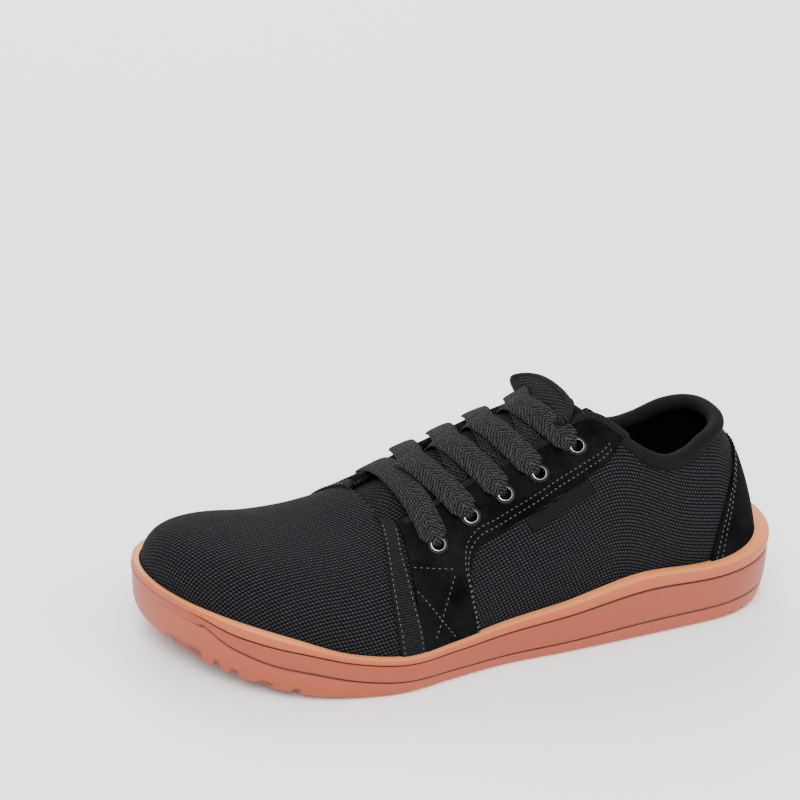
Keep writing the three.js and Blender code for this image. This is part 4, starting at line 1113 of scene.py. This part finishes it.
def makePanel(name, place, side, look, shape, material, slot, nodes, ribsAcross=False):
    s, t = np.meshgrid(spacing(shape[0]), spacing(shape[1]), indexing="ij")
    x, z = place(s, t, side)
    high, low = panelPoints(x, z, side, edgeDistance(x, z), look["thickness"], look["round"])
    points = np.concatenate([high.reshape(-1, 3), low.reshape(-1, 3)])
    uv = gridUv(high)[..., ::-1] if ribsAcross else gridUv(high)
    uv = np.concatenate([uv.reshape(-1, 2)] * 2)
    return makeObject(name, points, slabFaces(*s.shape), material, slot, nodes, uv=uv)


def labelPlace(s, t, side):
    a, b, c, d = [np.array(corner) for corner in label["corners"]]
    low = d + (c - d) * s[..., None]
    high = a + (b - a) * s[..., None]
    spot = low + (high - low) * t[..., None]
    return spot[..., 0] * shoe["soleLength"], spot[..., 1] * shoe["instepHeight"]


def counterGrid(s, t):
    # Rows of one height round the heel, from the outer front edge to the inner one
    height = (0.1 + (counter["height"][-1] - 0.1) * t) * shoe["instepHeight"]
    along = np.interp(height / shoe["instepHeight"], counter["height"], counter["along"])
    limit, _ = sidePlace(along * shoe["soleLength"], height, 1)
    turn = (1 - 2 * s) * limit
    up = upAtHeight(turn, lambda x, z: z - height)
    return turn, up


def makeCounter():
    s, t = np.meshgrid(spacing(counter["columns"]), spacing(counter["rows"]), indexing="ij")
    turn, up = counterGrid(s, t)
    face = lastAt(turn, up)
    around = np.concatenate([np.zeros((1, face.shape[1])),
                             np.cumsum(np.linalg.norm(np.diff(face, axis=0), axis=-1), 0)])
    rise = face[..., 2]
    near = np.minimum(np.minimum(around, around[-1:] - around), rise.max(1, keepdims=True) - rise)
    share = np.clip(near / counter["round"], 0, 1)
    high = onLast(turn, up, panelSeat + counter["thickness"] * np.sqrt(1 - (1 - share) ** 2))
    low = onLast(turn, up, np.full(turn.shape, -panelSink))
    points = np.concatenate([high.reshape(-1, 3), low.reshape(-1, 3)])
    uv = np.concatenate([gridUv(high).reshape(-1, 2)] * 2)
    makeObject("suede_counter", points, slabFaces(*s.shape), suede, "suede", ["heel_counter"], uv=uv)


panels = []
for sideName, side in (("outer", 1), ("inner", -1)):
    panels.append(makePanel(f"suede_eyestay_{sideName}", stayPlace, side, stay,
                            (stay["columns"], stay["rows"]), suede, "suede", [f"eyestay_{sideName}"]))
    panels.append(makePanel(f"tape_{sideName}", tapePlace, side, tape, (tape["columns"], tape["rows"]),
                            ribbon, "ribbed_tape", [f"vamp_tape_{sideName}"], ribsAcross=True))
makePanel("woven_tab", labelPlace, 1, label, (60, 24), labelCloth, "woven_label", ["side_label"])
makeCounter()
print("panels made")


def makeHoles():
    # Ten cylinders along the eyelets' axes, cut from the wall and the eyestays
    angle = np.arange(upper["holeSides"]) * 2 * math.pi / upper["holeSides"]
    points = []
    for side in (1, -1):
        for turn, up in zip(laces["eyeletTurns"], laces["eyeletUps"]):
            centre, out, first, second = eyeletFrame(side * math.radians(turn), up)
            ring = (np.cos(angle)[:, None] * first + np.sin(angle)[:, None] * second) * upper["hole"]
            reach = out * upper["holeReach"]
            points.append(np.stack([centre + ring - reach, centre + ring + reach]))
    cylinders = len(points)
    points = np.array(points).reshape(-1, 3)
    count = upper["holeSides"]
    tube = gridFaces(2, count, roundColumns=True)
    faces, caps = [], []
    for k in range(cylinders):
        faces.append(tube + k * 2 * count)
        caps.append([k * 2 * count + i for i in range(count)][::-1])
        caps.append([k * 2 * count + count + i for i in range(count)])
    mesh = bpy.data.meshes.new("holes")
    everything = np.concatenate(faces).tolist() + caps
    mesh.from_pydata(((points + origin) / 1000).tolist(), [], everything)
    work = bmesh.new()
    work.from_mesh(mesh)
    bmesh.ops.recalc_face_normals(work, faces=work.faces)
    work.to_mesh(mesh)
    work.free()
    cutter = bpy.data.objects.new("holes", mesh)
    bpy.context.scene.collection.objects.link(cutter)
    for item in [upperItem] + [panel for panel in panels if "eyestay" in panel.name]:
        cut = item.modifiers.new("holes", "BOOLEAN")
        cut.object = cutter
        cut.operation = "DIFFERENCE"
        cut.solver = "EXACT"
        cut.material_mode = "INDEX"
        applyModifiers(item)
    bpy.data.objects.remove(cutter)


def eyeletFrame(turn, up):
    # The eyelet's centre on the last, its axis, and two directions square to the axis
    turn, up = np.array(turn), np.array(up)
    out = outwardAt(turn, up)
    first = unit(np.cross(out, np.array([0.0, 0.0, 1.0])))
    return lastAt(turn, up), out, first, np.cross(out, first)


makeHoles()

eyelet = {"bore": 2.55, "barrel": 3.0, "flange": 4.35, "seat": 1.45, "depth": 3.6, "sides": 48,
          "radii": [4.35, 4.32, 4.2, 4.05, 3.9, 3.75, 3.4, 3.12, 3.04, 2.94, 2.74, 2.6, 2.55],
          "heights": [0.05, 0.3, 0.44, 0.4, 0.22, 0.1, 0.1, 0.3, 0.76, 0.96, 1.0, 0.7, 0.1],
          "darkReflectionSteps": (0, 6)}


def makeEyelets():
    # A closed profile turned round the axis: down the bore, back up outside the barrel, out under
    # the flange, and in over two beads with a groove between them
    over = np.stack([eyelet["radii"], eyelet["heights"]], -1)
    lower = [(eyelet["bore"], -1.0), (eyelet["bore"], -eyelet["depth"]),
             (eyelet["barrel"], -eyelet["depth"]), (eyelet["barrel"], -0.15), (eyelet["flange"], -0.15)]
    profile = np.concatenate([over, np.array(lower)])
    angle = np.arange(eyelet["sides"]) * 2 * math.pi / eyelet["sides"]
    for name, side in (("outer", 1), ("inner", -1)):
        for k, (turn, up) in enumerate(zip(laces["eyeletTurns"], laces["eyeletUps"])):
            centre, out, first, second = eyeletFrame(side * math.radians(turn), up)
            around = np.cos(angle)[:, None] * first + np.sin(angle)[:, None] * second
            points = (centre + out * eyelet["seat"] + around[:, None] * profile[None, :, :1]
                      + out * profile[None, :, 1:])
            faces = gridFaces(len(angle), len(profile), roundRows=True, roundColumns=True)
            item = makeObject(f"steel_eyelet_{name}_{k + 1}", points, faces, steel, "eyelet_metal",
                              [f"eyelet_{name}_{k + 1}"], sharp=40)
            # painted reflection: the outer bead and the groove take the dark steel as a painted dark
            # reflection, so only the inner bead reads bright
            item.data.materials.append(darkSteel)
            step = np.arange(len(faces)) % len(profile)
            outer = (step >= eyelet["darkReflectionSteps"][0]) & (step <= eyelet["darkReflectionSteps"][1])
            item.data.polygons.foreach_set("material_index", outer.astype(np.int32))


makeEyelets()
print("eyelets made")


def rollPath():
    # Where the last crosses the middle of the collar's roll, at turns up to the roll's two ends
    def crossing(turn):
        side = np.sign(turn + 1e-9)
        up = upAtHeight(turn, lambda x, z: z - collarLine(x, collarSizeAt(x) / 2, side),
                        -shoe["upperWall"] / 2)
        return lastAt(turn, up, -shoe["upperWall"] / 2), outwardAt(turn, up)
    probe = np.linspace(0, math.pi * 0.6, 400)
    limits = []
    for side in (1, -1):
        x = crossing(side * probe)[0][:, 0]
        limits.append(np.interp(collar["end"] * shoe["soleLength"], x, probe))
    turn = np.linspace(-limits[1], limits[0], collar["stations"])
    return crossing(turn)


def makeCollar():
    # An oval section carried along the roll's path, closed to a point at both ends. The front
    # stretches wear the ribbed binding.
    place, out = rollPath()
    along = unit(np.gradient(place, axis=0))
    out = unit(out - along * np.sum(out * along, -1, keepdims=True))
    rise = np.cross(out, along)
    rise = rise * np.where(rise[:, 2:] < 0, -1, 1)
    half = collarSizeAt(place[:, 0]) / 2
    run = np.concatenate([[0], np.cumsum(np.linalg.norm(np.diff(place, axis=0), axis=1))])
    near = np.minimum(run, run[-1] - run)
    half = half * np.sqrt(np.clip(1 - (1 - np.clip(near / 2.0, 0, 1)) ** 2, 0.002, 1))
    angle = np.arange(collar["sides"]) * 2 * math.pi / collar["sides"]
    plump = 1 + 0.05 * np.sin(run / 9.0)[:, None]
    points = (place[:, None] + rise[:, None] * (half[:, None] * plump * np.sin(angle))[..., None]
              + out[:, None] * (half[:, None] * 1.05 * np.cos(angle))[..., None])
    count, sides = points.shape[:2]
    caps = [list(range(sides)), [(count - 1) * sides + i for i in range(sides)][::-1]]
    girth = np.broadcast_to((angle * 3.5)[None], (count, sides))
    uv = np.stack([np.broadcast_to(run[:, None], (count, sides)), girth], -1) / 1000
    item = makeObject("padded_collar", points, gridFaces(count, sides, roundColumns=True), lining,
                      "collar_lining", ["collar_roll"], uv=uv, caps=caps, sharp=80)
    item.data.materials.append(ribbon)
    centres = np.zeros(len(item.data.polygons) * 3)
    item.data.polygons.foreach_get("center", centres)
    front = centres.reshape(-1, 3)[:, 0] * 1000 - origin[0] > collar["bindingFrom"] * shoe["soleLength"]
    item.data.polygons.foreach_set("material_index", front.astype(np.int32))


def makeBinding(name, path, out, wide, thick, material, slot):
    # A flat oval carried along a path, wide along the surface and thick along its normal, with
    # its two ends rounded off
    along = unit(np.gradient(path, axis=0))
    out = unit(out - along * np.sum(out * along, -1, keepdims=True))
    rise = np.cross(out, along)
    run = np.concatenate([[0], np.cumsum(np.linalg.norm(np.diff(path, axis=0), axis=1))])
    near = np.minimum(run, run[-1] - run) / binding["endRound"]
    size = np.sqrt(np.clip(1 - (1 - np.clip(near, 0, 1)) ** 2, 0.002, 1))
    angle = np.arange(binding["sides"]) * 2 * math.pi / binding["sides"]
    wideStep = np.sign(np.sin(angle)) * np.abs(np.sin(angle)) ** 0.8 * wide / 2
    thickStep = np.sign(np.cos(angle)) * np.abs(np.cos(angle)) ** 0.8 * thick / 2
    points = (path[:, None] + rise[:, None] * (size[:, None] * wideStep)[..., None]
              + out[:, None] * (size[:, None] * thickStep)[..., None])
    count, sides = points.shape[:2]
    caps = [list(range(sides)), [(count - 1) * sides + i for i in range(sides)][::-1]]
    uv = np.stack([np.broadcast_to(run[:, None], (count, sides)),
                   np.broadcast_to(wideStep[None], (count, sides))], -1) / 1000
    return makeObject(name, points, gridFaces(count, sides, roundColumns=True), material, slot,
                      uv=uv, caps=caps, sharp=80)


binding = {"from": 0.3, "to": 0.648, "wide": 3.9, "thick": 4.2, "inset": 1.1, "height": -0.15,
           "stations": 220, "sides": 18, "endRound": 2.0}


def makeEdgeBinding(name, side):
    # The ribbed binding goes on from the collar over the ear and down the throat's rim
    x = np.linspace(binding["from"], binding["to"], binding["stations"]) * shoe["soleLength"]
    z = throatRim(x, side) - binding["inset"]
    turn, up = sidePlace(x, z, side)
    path = onLast(turn, up, np.full(x.shape, binding["height"]))
    makeBinding(f"edge_binding_{name}", path, outwardAt(turn, up), binding["wide"], binding["thick"],
                ribbon, "ribbed_tape")


makeCollar()
makeEdgeBinding("outer", 1)
makeEdgeBinding("inner", -1)


def tonguePlace(share, run, lift):
    # Run is 0 at the toe end, 1 at the bend and 2 at the tip's end. The sheet narrows to the throat
    # before the bend. Behind it the tip stands up, most at its sides, and spreads over the ears.
    length = shoe["soleLength"]
    share, run = np.broadcast_arrays(share, run)
    half = 1 + (tongueEdge * 0.96 - 1) * blendStep(0.86, 0.99, run)
    across = share * half
    end = tongue["end"] + tongue["endRound"] * np.abs(share) ** 5
    x = (tongue["front"] + (tongue["bend"] - tongue["front"]) * np.minimum(run, 1)
         + (end - tongue["bend"]) * np.maximum(run - 1, 0)) * length
    cover = np.clip((shoe["throatFront"] - x / length) / tongue["swell"], 0, 1)
    sideRise = tongue["riseSide"] * np.where(share > 0, 1, tongue["innerRise"])
    stand = blendStep(0.95, 1.55, run) * (tongue["riseMiddle"] + sideRise * share ** 2)
    height = tongue["lie"] + tongueLift(across) * cover * (1 - blendStep(1.0, 1.6, run) * 0.35) + stand
    turn = np.arccos(1 - 2 * x / length) * np.where(across < 0, -1, 1)
    place = onLast(turn, 1 - np.abs(across) * (1 - tongue["up"]), height + lift)
    spread = np.where(share > 0, tongue["spreadOuter"], tongue["spreadInner"])
    place[..., 1] += share * spread * blendStep(1.25, 1.9, run)
    return place


def makeTongue():
    # A padded sheet under the eyestays that swells up through the throat, with a rounded rim, and
    # a knitted binding over the tip's edge
    run = np.concatenate([np.linspace(0, 1, 100), np.linspace(1, 2, 40)[1:]])[:, None]
    share = spacing(73)[None] * 2 - 1
    edge = np.minimum(1, np.minimum((1 - np.abs(share)) * tongue["sideRound"],
                                    (2 - run) * tongue["tipRound"]))
    plump = np.sqrt(np.clip(1 - (1 - edge) ** 2, 0.04, 1))
    half = tongue["thickness"] / 2
    high = tonguePlace(share, run, -half + half * plump)
    low = tonguePlace(share, run, -half - half * plump)
    points = np.concatenate([high.reshape(-1, 3), low.reshape(-1, 3)])
    uv = points[:, :2] / 1000
    item = makeObject("padded_tongue", points, slabFaces(*high.shape[:2]), knit, "knit_mesh",
                      ["tongue"], uv=uv)
    side = np.linspace(1.15, 1.92, 24)
    over = np.linspace(0.97, -0.97, 60)
    path = np.concatenate([tonguePlace(np.full(24, 0.97), side, -half),
                           tonguePlace(over, np.full(60, 1.97), -half)[1:-1],
                           tonguePlace(np.full(24, -0.97), side[::-1], -half)])
    for _ in range(6):
        path[1:-1] = (path[:-2] + 2 * path[1:-1] + path[2:]) / 4
    makeBinding("tongue_binding", path, np.array([[0.0, 0.0, 1.0]]) * np.ones((len(path), 1)),
                tongue["bindingWide"], tongue["bindingThick"], ribbon, "ribbed_tape")


makeTongue()
print("collar and tongue made")

stitch = {"pitch": 2.3, "length": 1.2, "radius": 0.2, "sides": 8, "sink": 0.05}


def stitchRow(path, out):
    # One capsule of thread for each pitch along a path: rings of a circle whose radius follows a
    # half ellipse along the stitch
    run = np.concatenate([[0], np.cumsum(np.linalg.norm(np.diff(path, axis=0), axis=1))])
    count = max(int(run[-1] / stitch["pitch"]), 1)
    at = (np.arange(count) + 0.5) * run[-1] / count
    share = np.linspace(-1, 1, 7)
    radius = stitch["radius"] * np.sqrt(np.clip(1 - share ** 4, 0.02, 1))
    angle = np.arange(stitch["sides"]) * 2 * math.pi / stitch["sides"]
    spot = at[:, None] + share[None] * stitch["length"] / 2
    centre = np.stack([np.interp(spot, run, path[:, i]) for i in range(3)], -1)
    normal = unit(np.stack([np.interp(spot, run, out[:, i]) for i in range(3)], -1))
    along = unit(centre[:, -1:] - centre[:, :1])
    wide = unit(np.cross(along, normal))
    arch = (1 - share ** 2) * stitch["radius"] * 0.9 - stitch["sink"]
    centre = centre + normal * arch[None, :, None]
    ring = (wide[:, :, None] * np.cos(angle)[None, None, :, None]
            + normal[:, :, None] * np.sin(angle)[None, None, :, None])
    points = centre[:, :, None] + ring * radius[None, :, None, None]
    size = len(share) * stitch["sides"]
    each = gridFaces(len(share), stitch["sides"], roundColumns=True)
    faces = (each[None] + (np.arange(count) * size)[:, None, None]).reshape(-1, 4)
    return points.reshape(-1, 3), faces


def makeStitches(name, rows):
    # Rows of stitches in one mesh. Each row is a path with its normals.
    points, faces, total = [], [], 0
    for path, out in rows:
        more, quads = stitchRow(path, out)
        points.append(more)
        faces.append(quads + total)
        total += len(more)
    makeObject(name, np.concatenate(points), np.concatenate(faces), thread, "ribbed_tape")


def panelRow(place, side, s, t, height):
    # A path over a panel, just above its face
    x, z = place(s, t, side)
    turn, up = sidePlace(x, z, side)
    out = outwardAt(turn, up)
    base = lastAt(turn, up)
    return base + out * (height + 0.7 * creaseLift(base))[:, None], out


def insetShare(place, side, s, inset, fromTop):
    # The share up a panel's line that lies an inset in millimetres from its edge
    low, high = place(s, np.zeros_like(s), side), place(s, np.ones_like(s), side)
    long = np.hypot(high[0] - low[0], high[1] - low[1])
    return 1 - inset / long if fromTop else inset / long


# Rows sewn across the front of the eyestay, each through places seen from the side
frontRows = [[(0.661, 0.446), (0.6, 0.435)], [(0.601, 0.418), (0.6225, 0.3165), (0.6438, 0.2)],
             [(0.664, 0.382), (0.6567, 0.359), (0.6324, 0.272), (0.6077, 0.187)]]


def sideRows(side):
    rows = []
    face = panelSeat + stay["thickness"]
    s = np.linspace(0.05, 0.8, 160)
    for inset in stay["rowInsets"]:
        rows.append(panelRow(stayPlace, side, s, insetShare(stayPlace, side, s, inset, False), face))
    for row in frontRows:
        spots = np.array(row)
        at = np.linspace(0, len(row) - 1, 60)
        x, z = [np.interp(at, np.arange(len(row)), spots[:, i]) for i in (0, 1)]
        turn, up = sidePlace(x * shoe["soleLength"], z * shoe["instepHeight"], side)
        out = outwardAt(turn, up)
        base = lastAt(turn, up)
        rows.append((base + out * (face + 0.7 * creaseLift(base))[:, None], out))
    t = np.linspace(0.1, 0.97, 80)
    for share in (0.13, 0.87):
        rows.append(panelRow(tapePlace, side, np.full_like(t, share), t, panelSeat + tape["thickness"]))
    return rows


def counterRows():
    # Two rows up each front edge of the counter, and one round under its top
    def row(s, t):
        turn, up = counterGrid(s, t)
        face = np.full(s.shape, panelSeat + counter["thickness"])
        return onLast(turn, up, face), outwardAt(turn, up)

    rows = []
    t = np.linspace(0.25, counter["topRow"], 80)
    for inset in counter["rowInsets"]:
        share = inset / counter["span"]
        rows.append(row(np.full_like(t, share), t))
        rows.append(row(np.full_like(t, 1 - share), t))
    s = np.linspace(0.03, 0.97, 120)
    rows.append(row(s, np.full_like(s, counter["topRow"])))
    return rows


makeStitches("stitching_outer", sideRows(1))
makeStitches("stitching_inner", sideRows(-1))
makeStitches("stitching_counter", counterRows())
print("stitches made")
